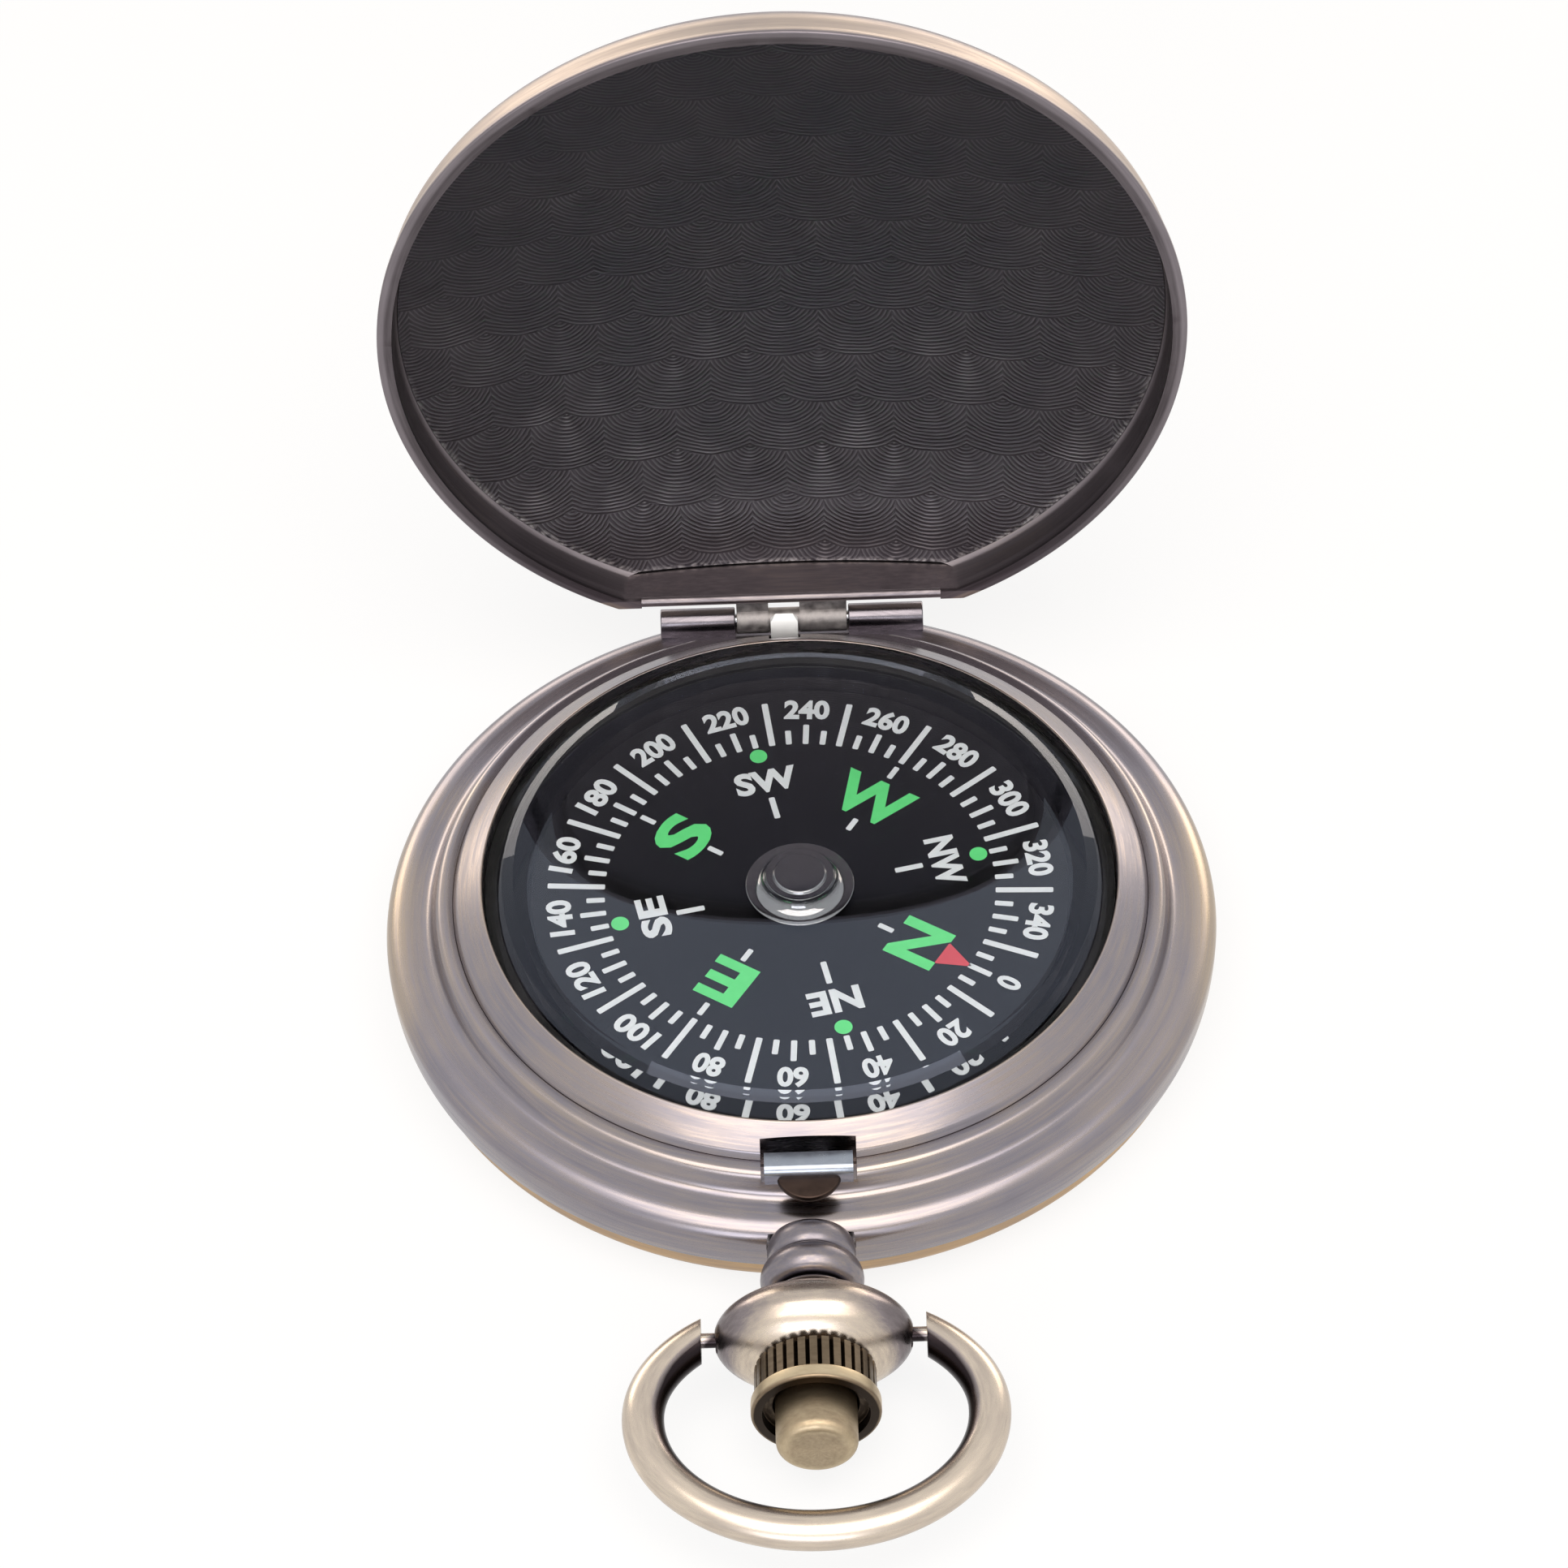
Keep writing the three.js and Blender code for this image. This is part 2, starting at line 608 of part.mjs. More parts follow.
function lidShell() {
  const cornerRadius = rimRadius - LID_CORNER;
  const corner = arc([cornerRadius, shellZ - LID_CORNER], [LID_CORNER, LID_CORNER], 0, 1, ROUND_STEPS);
  const envelope = turned([
    [0, lipZ],
    [lipRadius, lipZ],
    [lipRadius, lipZ + LIP_HEIGHT - LIP_BEAD],
    [rimRadius, lipZ + LIP_HEIGHT],
    ...corner.slice(0, -1),
    ...dome(cornerRadius, shellZ, LID_DOME, DOME_STEPS),
  ]);
  const cavity = turned([
    [0, 0],
    [lipInner, 0],
    [lipInner, lipZ + LIP_HEIGHT - LIP_BEAD],
    [rimInner, lipZ + LIP_HEIGHT],
    ...dome(rimInner, cavityZ, LID_DOME, DOME_STEPS),
  ]);
  const shell = cut(envelope.intersect(insideChord(chordY)), cavity.intersect(insideChord(chordInnerY)));
  const knuckleReach = [-LID_KNUCKLE_LENGTH / 2, LID_KNUCKLE_LENGTH / 2];
  const knuckle = across(KNUCKLE_RADIUS, knuckleReach, hingeY, hingeZ);
  const webY = [chordY - CHORD_WALL / 2, hingeY];
  const web = box(knuckleReach, webY, [hingeZ - FIT_GAP, hingeZ - FIT_GAP + WEB_THICKNESS]);
  const pocketX = widened([-NOSE_WIDTH / 2, NOSE_WIDTH / 2], RUN_GAP);
  const pocket = box(pocketX, [pocketY, boltY], [catchTopZ, noseZ + NOSE_HEIGHT + RUN_GAP]);
  const pinHole = across(PIN_RADIUS + PIN_GAP, [-HINGE_WIDTH, HINGE_WIDTH], hingeY, hingeZ);
  const aroundHinge = widened([hingeZ, hingeZ], CHORD_OFFSET);
  const slotY = [chordY + SEAT_GAP, hingeY + CHORD_OFFSET];
  const tipSlot = box(widened(tipX, RUN_GAP), slotY, aroundHinge);
  return cut(joined(shell, knuckle, web), pinHole, tipSlot, pocket);
}
lidPiece('lid_shell', lidShell(), antiqueBrass());

const plateDisc = turned([
  ...dome(plateRadius, plateZ, LID_DOME, DOME_STEPS).reverse(),
  ...dome(plateRadius, plateZ + PLATE_THICKNESS, LID_DOME, DOME_STEPS),
]);
const innerPlate = plateDisc.intersect(insideChord(chordInnerY - FIT_GAP));
lidPiece('lid_inner_plate', innerPlate, metal(0x3c393c, 0.4));

// Flat springs under the flange, each with a foot that a screw holds
const footTopZ = flangeZ - SEAT_GAP;
const footZ = footTopZ - FOOT_THICKNESS;
const stripTopZ = footTopZ - SEAT_GAP;
const stripZ = stripTopZ - SPRING_HEIGHT;
const footRadii = [screwRadius - FOOT_WIDTH / 2, screwRadius + FOOT_WIDTH / 2];

const stripStop = (SCREW_HEAD_RADIUS + RUN_GAP) / screwRadius;
const footSpan = stripStop + FOOT_TAIL / screwRadius;

function springFoot(angle) {
  const plate = band(...footRadii, angle - footSpan, angle + footSpan, footZ, footTopZ);
  return cut(plate, screwRod(SCREW_RADIUS + FIT_GAP, angle, stripZ, flangeZ));
}

function liftSpring() {
  const inner = footRadii[0] + RUN_GAP;
  const from = Math.PI / 2 - tipX[0] / screwRadius;
  const strip = band(inner, inner + SPRING_STRIP, from, liftAngle - stripStop, stripZ, stripTopZ);
  const arm = box(tipX, [inner, tipY[1]], [stripZ, footZ]);
  const tip = box(tipX, tipY, [stripZ, hingeZ + TIP_RISE]);
  return joined(strip, arm, tip, springFoot(liftAngle));
}
model.add(piece('lid_spring', liftSpring(), steel()));

function latchSpring() {
  const outer = -boltBackY - CLOSE_GAP;
  const overlap = BOLT_WIDTH / 4;
  const to = -Math.PI / 2 + overlap / outer;
  const strip = band(outer - SPRING_STRIP, outer, latchAngle + stripStop, to, stripZ, stripTopZ);
  return joined(strip, springFoot(latchAngle));
}
model.add(piece('latch_spring', latchSpring(), steel()));

function springScrew(angle) {
  const headTopZ = footZ - SEAT_GAP;
  const headZ = headTopZ - SCREW_HEAD_HEIGHT;
  const head = screwRod(SCREW_HEAD_RADIUS, angle, headZ, headTopZ);
  const shank = screwRod(SCREW_RADIUS, angle, headZ, flangeZ + SCREW_DEPTH);
  const [x, y] = screwPlace(angle);
  const slot = box(
    [x - 2 * SCREW_HEAD_RADIUS, x + 2 * SCREW_HEAD_RADIUS],
    [y - SCREW_SLOT / 2, y + SCREW_SLOT / 2],
    [headZ - SCREW_SLOT, headZ + SCREW_SLOT],
  );
  return cut(joined(head, shank), slot);
}
model.add(piece('lid_spring_screw', springScrew(liftAngle), steel()));
model.add(piece('latch_spring_screw', springScrew(latchAngle), steel()));

// Latch bolt, a plate with a nose that is round in plan and hooks over the lip of the lid
function latchBolt() {
  const half = BOLT_WIDTH / 2;
  const plate = box([-half, half], [boltY, boltBackY], [ledgeZ - BOLT_DROP, noseZ + NOSE_HEIGHT]);
  const nose = new THREE.Shape();
  nose.moveTo(-NOSE_WIDTH / 2, boltBackY);
  nose.lineTo(-NOSE_WIDTH / 2, boltY);
  nose.absellipse(0, boltY, NOSE_WIDTH / 2, noseReach, Math.PI, 2 * Math.PI, false);
  nose.lineTo(NOSE_WIDTH / 2, boltBackY);
  const options = { depth: NOSE_HEIGHT, bevelEnabled: false, curveSegments: SMALL_SIDES / 2 };
  return plate.add(solid(new THREE.ExtrudeGeometry(nose, options).translate(0, 0, noseZ)));
}
model.add(piece('latch_bolt', latchBolt(), steel()));

// Beaded neck of the pendant
function pendantNeck() {
  const beads = BEAD_RADII.flatMap((radius, i) => {
    const middle = [NECK_WAIST, neckY - BEAD_LENGTH * (i + 0.5)];
    const bead = arc(middle, [radius - NECK_WAIST, BEAD_LENGTH / 2], 1, -1, ROUND_STEPS);
    return bead.slice(0, -1);
  });
  const clipRoomY = clipY + CLIP_THICKNESS + BUTTON_TRAVEL + CLOSE_GAP;
  return pendant([
    [clipBore, neckEndY],
    [NECK_WAIST, neckEndY],
    [NECK_WAIST, neckEndY + NECK_TAIL],
    ...beads.reverse(),
    [stemHole, neckY],
    [stemHole, clipRoomY],
    [clipBore, clipRoomY],
    [clipBore, neckEndY],
  ]);
}
model.add(piece('pendant_neck', pendantNeck(), antiqueBrass()));

// Flattened bulb that carries the bow
const bowPinEnd = BULB_HALF_WIDTH - BOW_PIN_SEAT;

function pendantBulb() {
  const round = new THREE.SphereGeometry(1, SMALL_SIDES, SMALL_SIDES / 2);
  round.scale(BULB_HALF_WIDTH, BULB_LENGTH / 2 + BULB_ROUND, BULB_HALF_DEPTH);
  const whole = solid(round.translate(0, bulbY, equatorZ));
  const wide = [-CASE_RADIUS, CASE_RADIUS];
  const between = box(wide, [bulbEndY, bulbTopY], wide);
  const bore = pendant(rod(SPRING_BORE, 2 * bulbEndY, coilSeatY));
  const stemBore = pendant(rod(stemHole, 2 * bulbEndY, 0), PIN_SIDES);
  const bowHoles = [-1, 1].map((side) => {
    const reach = [side * (bowPinEnd - RUN_GAP), side * CASE_RADIUS].sort((a, b) => a - b);
    return across(BOW_PIN_RADIUS + RUN_GAP, reach, bulbY, equatorZ);
  });
  return cut(whole.intersect(between), bore, stemBore, ...bowHoles);
}
model.add(piece('pendant_bulb', pendantBulb(), antiqueBrass()));

// Fluted crown that the button slides in
function crownSleeve() {
  const steps = FLUTES * 2;
  const outline = new THREE.Shape(Array.from({ length: steps }, (_, i) => {
    const angle = i / steps * 2 * Math.PI;
    const radius = CROWN_RADIUS - FLUTE_DEPTH * (1 - Math.cos(FLUTES * angle)) / 2;
    return new THREE.Vector2(radius * Math.cos(angle), radius * Math.sin(angle));
  }));
  const bandY = crownFaceY + CROWN_BAND;
  const grip = new THREE.ExtrudeGeometry(outline, { depth: crownY - bandY, bevelEnabled: false });
  const fluted = solid(grip.rotateX(Math.PI / 2).translate(0, crownY, equatorZ));
  const front = pendant(rod(CROWN_RADIUS, crownFaceY, bandY + FIT_GAP), RING_SIDES);
  const recess = pendant(rod(CROWN_RADIUS - CROWN_RIM, 2 * crownFaceY, crownFaceY + CROWN_RECESS));
  const bore = pendant(rod(buttonBore, 2 * crownFaceY, crownY - CROWN_BACK));
  const springHole = pendant(rod(SPRING_BORE, 2 * crownFaceY, 0));
  return cut(joined(fluted, front), recess, bore, springHole);
}
model.add(piece('crown_sleeve', crownSleeve(), darkBrass()));

// Push button, its stem and the clip that keeps the stem in the pendant
const button = new THREE.Group();
model.add(button);

const buttonEdge = [BUTTON_RADIUS - BUTTON_ROUND, buttonEndY + BUTTON_ROUND];
const buttonProfile = [
  [0, buttonEndY],
  ...arc(buttonEdge, [BUTTON_ROUND, BUTTON_ROUND], -1, 0, ROUND_STEPS),
  [BUTTON_RADIUS, buttonInnerY],
  [STEM_RADIUS + SEAT_GAP, buttonInnerY],
  [STEM_RADIUS + SEAT_GAP, stemEndY - SEAT_GAP],
  [0, stemEndY - SEAT_GAP],
];
button.add(piece('push_button', pendant(buttonProfile), darkBrass()));
button.add(piece('push_stem', pendant(rod(STEM_RADIUS, stemEndY, stemY)), steel()));
const clip = ring(STEM_RADIUS + SEAT_GAP, CLIP_RADIUS, clipY, clipY + CLIP_THICKNESS);
button.add(piece('stem_retainer', pendant(clip), steel()));

// Coil spring between the button and the floor of the bulb
class Coil extends THREE.Curve {
  getPoint(t, target = new THREE.Vector3()) {
    const from = buttonInnerY + CLOSE_GAP + COIL_WIRE;
    const to = coilSeatY - CLOSE_GAP - COIL_WIRE;
    const angle = t * COIL_TURNS * 2 * Math.PI;
    const y = from + t * (to - from);
    return target.set(COIL_RADIUS * Math.cos(angle), y, equatorZ + COIL_RADIUS * Math.sin(angle));
  }
}

// Least gap between the coil and itself, over points at least half a turn apart
function coilGap(coil) {
  const points = coil.getPoints(COIL_STEPS);
  const apart = Math.round(COIL_STEPS / COIL_TURNS / 2);
  const gaps = points.flatMap((point, i) => {
    return points.slice(i + apart).map((other) => point.distanceTo(other));
  });
  return Math.min(...gaps) - 2 * COIL_WIRE;
}

// An ellipse to draw out along a curve
function wireSection(halfWidth, halfHeight, sides) {
  return new THREE.Shape(Array.from({ length: sides }, (_, i) => {
    const angle = i / sides * 2 * Math.PI;
    return new THREE.Vector2(halfWidth * Math.cos(angle), halfHeight * Math.sin(angle));
  }));
}

const coil = new Coil();
console.log(`button spring: least gap to itself ${coilGap(coil).toFixed(2)} mm`);
const coilTube = new THREE.ExtrudeGeometry(wireSection(COIL_WIRE, COIL_WIRE, COIL_SIDES), {
  extrudePath: coil,
  steps: COIL_STEPS,
});
model.add(piece('button_spring', solid(coilTube), steel()));

// Bow: an open loop of wire, wide at the shoulders, with a pin at each end that turns in the bulb
const bowEnd = BULB_HALF_WIDTH + BOW_END_GAP;
const bowY = bulbY - BOW_SHOULDER;
const bowRise = BOW_SHOULDER / Math.sqrt(1 - (bowEnd / BOW_HALF_WIDTH) ** 2);
const bowSweep = Math.PI - Math.asin((bowEnd - BOW_WIRE) / BOW_HALF_WIDTH);

class BowLoop extends THREE.Curve {
  getPoint(t, target = new THREE.Vector3()) {
    const angle = bowSweep * (2 * t - 1);
    const reach = Math.cos(angle) > 0 ? BOW_DROP : bowRise;
    return target.set(BOW_HALF_WIDTH * Math.sin(angle), bowY - reach * Math.cos(angle), equatorZ);
  }
}

function bowRing() {
  const loop = solid(new THREE.ExtrudeGeometry(wireSection(BOW_WIRE, BOW_WIRE_FLAT, BOW_SIDES), {
    extrudePath: new BowLoop(),
    steps: BOW_STEPS,
  }));
  const betweenEnds = box([-bowEnd, bowEnd], [bowY, 0], [0, 2 * equatorZ]);
  const pins = [-1, 1].map((side) => {
    const reach = [side * bowPinEnd, side * (bowEnd + BOW_WIRE)].sort((a, b) => a - b);
    return across(BOW_PIN_RADIUS, reach, bulbY, equatorZ);
  });
  return joined(cut(loop, betweenEnds), ...pins);
}
model.add(piece('bow_ring', bowRing(), antiqueBrass()));

export default model;
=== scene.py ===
# %% [markdown]
# # A pocket watch compass, dressed in Blender
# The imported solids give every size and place. In this lesson each piece that shows is modelled again
# with smooth turned surfaces, and gets the finish of the real one: brushed antique brass, a blackened
# plate with engine turning, a polished crystal and a printed dial. What is hidden inside the case
# keeps the shape of its solid and only gets a material.

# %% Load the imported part
import math

import bpy
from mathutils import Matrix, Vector


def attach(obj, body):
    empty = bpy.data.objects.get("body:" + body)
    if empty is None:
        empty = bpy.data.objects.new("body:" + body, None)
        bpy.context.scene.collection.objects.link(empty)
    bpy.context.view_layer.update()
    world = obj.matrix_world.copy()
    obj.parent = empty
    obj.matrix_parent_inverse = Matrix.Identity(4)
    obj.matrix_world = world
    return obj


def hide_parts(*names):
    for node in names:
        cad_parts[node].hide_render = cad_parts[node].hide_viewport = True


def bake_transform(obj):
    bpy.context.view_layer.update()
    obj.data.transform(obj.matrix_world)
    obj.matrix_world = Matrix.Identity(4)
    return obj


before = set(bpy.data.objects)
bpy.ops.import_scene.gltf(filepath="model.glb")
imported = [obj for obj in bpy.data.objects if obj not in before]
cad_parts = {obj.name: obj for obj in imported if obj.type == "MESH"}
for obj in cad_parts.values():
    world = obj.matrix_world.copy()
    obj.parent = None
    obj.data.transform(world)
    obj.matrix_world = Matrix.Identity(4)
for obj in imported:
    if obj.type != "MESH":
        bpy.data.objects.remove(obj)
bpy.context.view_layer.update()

# %% [markdown]
# Pieces are drawn in millimetres, because that is how the case is measured, and each one is scaled
# to metres when it is finished. Most are turned, so the main helper works as a lathe does: one
# vertex is extruded along a profile, and the profile is spun round an axis.

# %% Start a piece, with nothing else selected
MM = 0.001


def start(name, add, scale=(1, 1, 1), **settings):
    bpy.ops.object.select_all(action="DESELECT")
    add(**settings)
    piece = bpy.context.object
    piece.name = name
    piece.scale = scale
    bpy.ops.object.transform_apply(location=True, rotation=True, scale=True)
    return piece


def choose(piece):
    bpy.ops.object.select_all(action="DESELECT")
    piece.select_set(True)
    bpy.context.view_layer.objects.active = piece


def edit(piece, *steps):
    choose(piece)
    bpy.ops.object.mode_set(mode="EDIT")
    for step in steps:
        bpy.ops.mesh.select_all(action="SELECT")
        step()
    bpy.ops.object.mode_set(mode="OBJECT")


# %% Profiles of (radius, height) points
def arc(centre, radii, first, last, cuts=14):
    angles = [math.radians(first + (last - first) * i / cuts) for i in range(cuts + 1)]
    return [(centre[0] + radii[0] * math.cos(a), centre[1] + radii[1] * math.sin(a), 0) for a in angles]


def dome(edge, height, rise, cuts=24):
    sphere = (edge ** 2 + rise ** 2) / (2 * rise)
    reach = math.asin(edge / sphere)
    angles = [reach * (1 - i / cuts) for i in range(cuts + 1)]
    return [(sphere * math.sin(a), height + rise - sphere * (1 - math.cos(a)), 0) for a in angles]


def ring(radii, heights):
    """The closed section of a flat ring."""
    (inner, outer), (low, high) = radii, heights
    return [(inner, low), (outer, low), (outer, high), (inner, high), (inner, low)]


def rounded(corners, reach=0.06, cuts=4):
    """Rounds the corners of a chain. A corner's third number is its own reach, and 0 leaves it."""
    chain = [corners[0][:2]]
    for before, corner, after in zip(corners, corners[1:], corners[2:]):
        here, to_before, to_after = (Vector(p[:2]) for p in (corner, before, after))
        to_before -= here
        to_after -= here
        asked = corner[2] if len(corner) > 2 else reach
        near = min(asked, 0.45 * to_before.length, 0.45 * to_after.length)
        if near < 1e-6:
            chain.append(corner[:2])
            continue
        first = here + near * to_before.normalized()
        last = here + near * to_after.normalized()
        for t in (i / cuts for i in range(cuts + 1)):
            chain.append((1 - t) ** 2 * first + 2 * t * (1 - t) * here + t ** 2 * last)
    chain.append(corners[-1][:2])
    return chain


# %% The lathe
AXES = {"Y": (0, 1, 0), "Z": (0, 0, 1)}


def merge_and_face_out():
    bpy.ops.mesh.remove_doubles(threshold=0.0005)
    bpy.ops.mesh.select_all(action="SELECT")
    bpy.ops.mesh.normals_make_consistent(inside=False)


def turned(name, profile, axis="Z", centre=(0, 0, 0), steps=192, angle=math.tau):
    piece = start(name, bpy.ops.mesh.primitive_plane_add, size=1)
    along = Vector(AXES[axis])
    points = [Vector(centre) + Vector((r, 0, 0)) + h * along for r, h in profile]

    def draw_and_spin():
        bpy.ops.mesh.merge(type="CENTER")
        bpy.ops.transform.translate(value=points[0])
        for here, there in zip(points, points[1:]):
            bpy.ops.mesh.extrude_region_move(TRANSFORM_OT_translate={"value": there - here})
        bpy.ops.mesh.select_all(action="SELECT")
        bpy.ops.mesh.spin(steps=steps, angle=angle, center=centre, axis=AXES[axis])

    edit(piece, draw_and_spin, merge_and_face_out)
    return piece


# %% Blocks, bars, cuts and soft edges
def block(name, x, y, z):
    middle = [(low + high) / 2 for low, high in (x, y, z)]
    size = [high - low for low, high in (x, y, z)]
    return start(name, bpy.ops.mesh.primitive_cube_add, size=1, location=middle, scale=size)


def bar(name, radius, x, y, z, sides=64):
    return start(name, bpy.ops.mesh.primitive_cylinder_add, vertices=sides, radius=radius,
                 depth=x[1] - x[0], location=((x[0] + x[1]) / 2, y, z), rotation=(0, math.pi / 2, 0))


def combine(piece, operation, *tools):
    for tool in tools:
        choose(piece)
        bpy.ops.object.modifier_add(type="BOOLEAN")
        modifier = piece.modifiers[-1]
        modifier.operation = operation
        modifier.object = tool
        bpy.ops.object.modifier_apply(modifier=modifier.name)
        bpy.data.objects.remove(tool)
    return piece


def soften(piece, width, angle=40):
    choose(piece)
    bpy.ops.object.modifier_add(type="BEVEL")
    modifier = piece.modifiers[-1]
    modifier.width = width
    modifier.segments = 3
    modifier.limit_method = "ANGLE"
    modifier.angle_limit = math.radians(angle)
    bpy.ops.object.modifier_apply(modifier=modifier.name)
    return piece


def trim(piece, point, normal):
    edit(piece, lambda: bpy.ops.mesh.bisect(
        plane_co=point, plane_no=normal, use_fill=True, clear_outer=True))
    return piece


# %% Finish a piece: metres, shading, finish, and the body that it moves with
def settle(piece, body, slot, material, *nodes, angle=32):
    choose(piece)
    piece.scale = (MM, MM, MM)
    bpy.ops.object.transform_apply(location=True, rotation=True, scale=True)
    bpy.ops.object.shade_smooth_by_angle(angle=math.radians(angle))
    piece.data.name = piece.name
    piece.data.materials.clear()
    piece.data.materials.append(material)
    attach(piece, body)
    if nodes:
        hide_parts(*nodes)
    size = ", ".join(f"{1000 * side:.2f}" for side in piece.dimensions)
    print(f"{piece.name}: {len(piece.data.polygons)} faces, {size} mm")


# %% [markdown]
# ## Finishes
# Colours are written as sRGB hex values, the way a colour picker shows them, and one function turns
# them to the linear values that shaders take. One more function adds a node with its settings, and
# feeds each of its inputs with a link or a value.

# %% Colour and node helpers
def linear(code):
    channels = [int(code[i:i + 2], 16) / 255 for i in (1, 3, 5)]
    return [c / 12.92 if c <= 0.04045 else ((c + 0.055) / 1.055) ** 2.4 for c in channels] + [1.0]


def feed(tree, node, inputs):
    for key, value in inputs.items():
        if isinstance(value, bpy.types.NodeSocket):
            tree.links.new(value, node.inputs[key])
        else:
            node.inputs[key].default_value = value


def add(tree, kind, inputs=None, output=0, **settings):
    node = tree.nodes.new(kind)
    for key, value in settings.items():
        setattr(node, key, value)
    feed(tree, node, inputs or {})
    return node.outputs[output] if len(node.outputs) else node


def finish(name):
    """A new material with its shader and the place of each point on the piece, in metres."""
    material = bpy.data.materials.new(name)
    material.use_nodes = True
    tree = material.node_tree
    shader = next(n for n in tree.nodes if n.type == "BSDF_PRINCIPLED")
    place = add(tree, "ShaderNodeTexCoord", output="Object")
    return material, tree, shader, place


# %% [markdown]
# ### Brushed antique brass
# The case is brass that was darkened in a bath and then brushed on a wheel, so the dark skin stays in
# the hollows and thins on the crests. The brush leaves fine lines round the axis of each turned piece.
# Noise that is stretched round that axis gives the lines. They are drawn about 0.2 mm wide, coarser
# than the real ones, so that they show. Marks make the metal barer where fingers rub it and darker in
# the hollows. Other marks are painted light and shade: the lighter sides of the case and the lighter
# ring and strip on the button and the lid are painted highlights, and the case darker towards the
# hinge, the ball darker towards its ends and the bow darker on its inner edge are painted shade. The
# darker grooves of the neck and front of the crown are partly dark skin and partly painted shade.

# %% Brushed antique brass
BRUSH_LINE = 0.2 * MM
BRUSH_DEPTH = 0.01 * MM
BRUSH_TURN = 5.0
CLOUD = 7 * MM
CLOUD_SHARE = 0.45
WEAR_SPREAD = 0.16
ROUGH_SPREAD = 0.06
PATINA = "#352f31"


def round_axis(tree, place, centre, turn, stretch):
    """Turns an axis upright, and measures from it: direction, radius, height, depth and side."""
    spot = [c * MM for c in centre]
    moved = add(tree, "ShaderNodeVectorMath", {0: place, 1: spot}, operation="SUBTRACT")
    moved = add(tree, "ShaderNodeVectorMath", {0: moved, 1: stretch}, operation="MULTIPLY")
    moved = add(tree, "ShaderNodeVectorRotate", {"Vector": moved, "Angle": math.radians(turn)},
                rotation_type="X_AXIS")
    parts = tree.nodes.new("ShaderNodeSeparateXYZ")
    tree.links.new(moved, parts.inputs[0])
    flat = add(tree, "ShaderNodeCombineXYZ", {"X": parts.outputs["X"], "Y": parts.outputs["Y"]})
    radius = add(tree, "ShaderNodeVectorMath", {0: flat}, output="Value", operation="LENGTH")
    direction = add(tree, "ShaderNodeVectorMath", {0: flat}, operation="NORMALIZE")
    side = add(tree, "ShaderNodeMath", {0: parts.outputs["X"]}, operation="ABSOLUTE")
    return direction, radius, parts.outputs["Z"], parts.outputs["Y"], side


def brush_lines(tree, direction, radius, height, line, turn):
    """Noise in long thin lines round an axis."""
    steps = add(tree, "ShaderNodeMath", {0: radius, 1: line}, operation="DIVIDE")
    spread = add(tree, "ShaderNodeVectorMath", {0: direction, "Scale": turn}, operation="SCALE")
    lift = add(tree, "ShaderNodeCombineXYZ", {"Z": steps})
    where = add(tree, "ShaderNodeVectorMath", {0: spread, 1: lift}, operation="ADD")
    level = add(tree, "ShaderNodeMath", {0: height, 1: line}, operation="DIVIDE")
    return add(tree, "ShaderNodeTexNoise",
               {"Vector": where, "W": level, "Scale": 1.0, "Detail": 3.0, "Roughness": 0.6},
               noise_dimensions="4D")


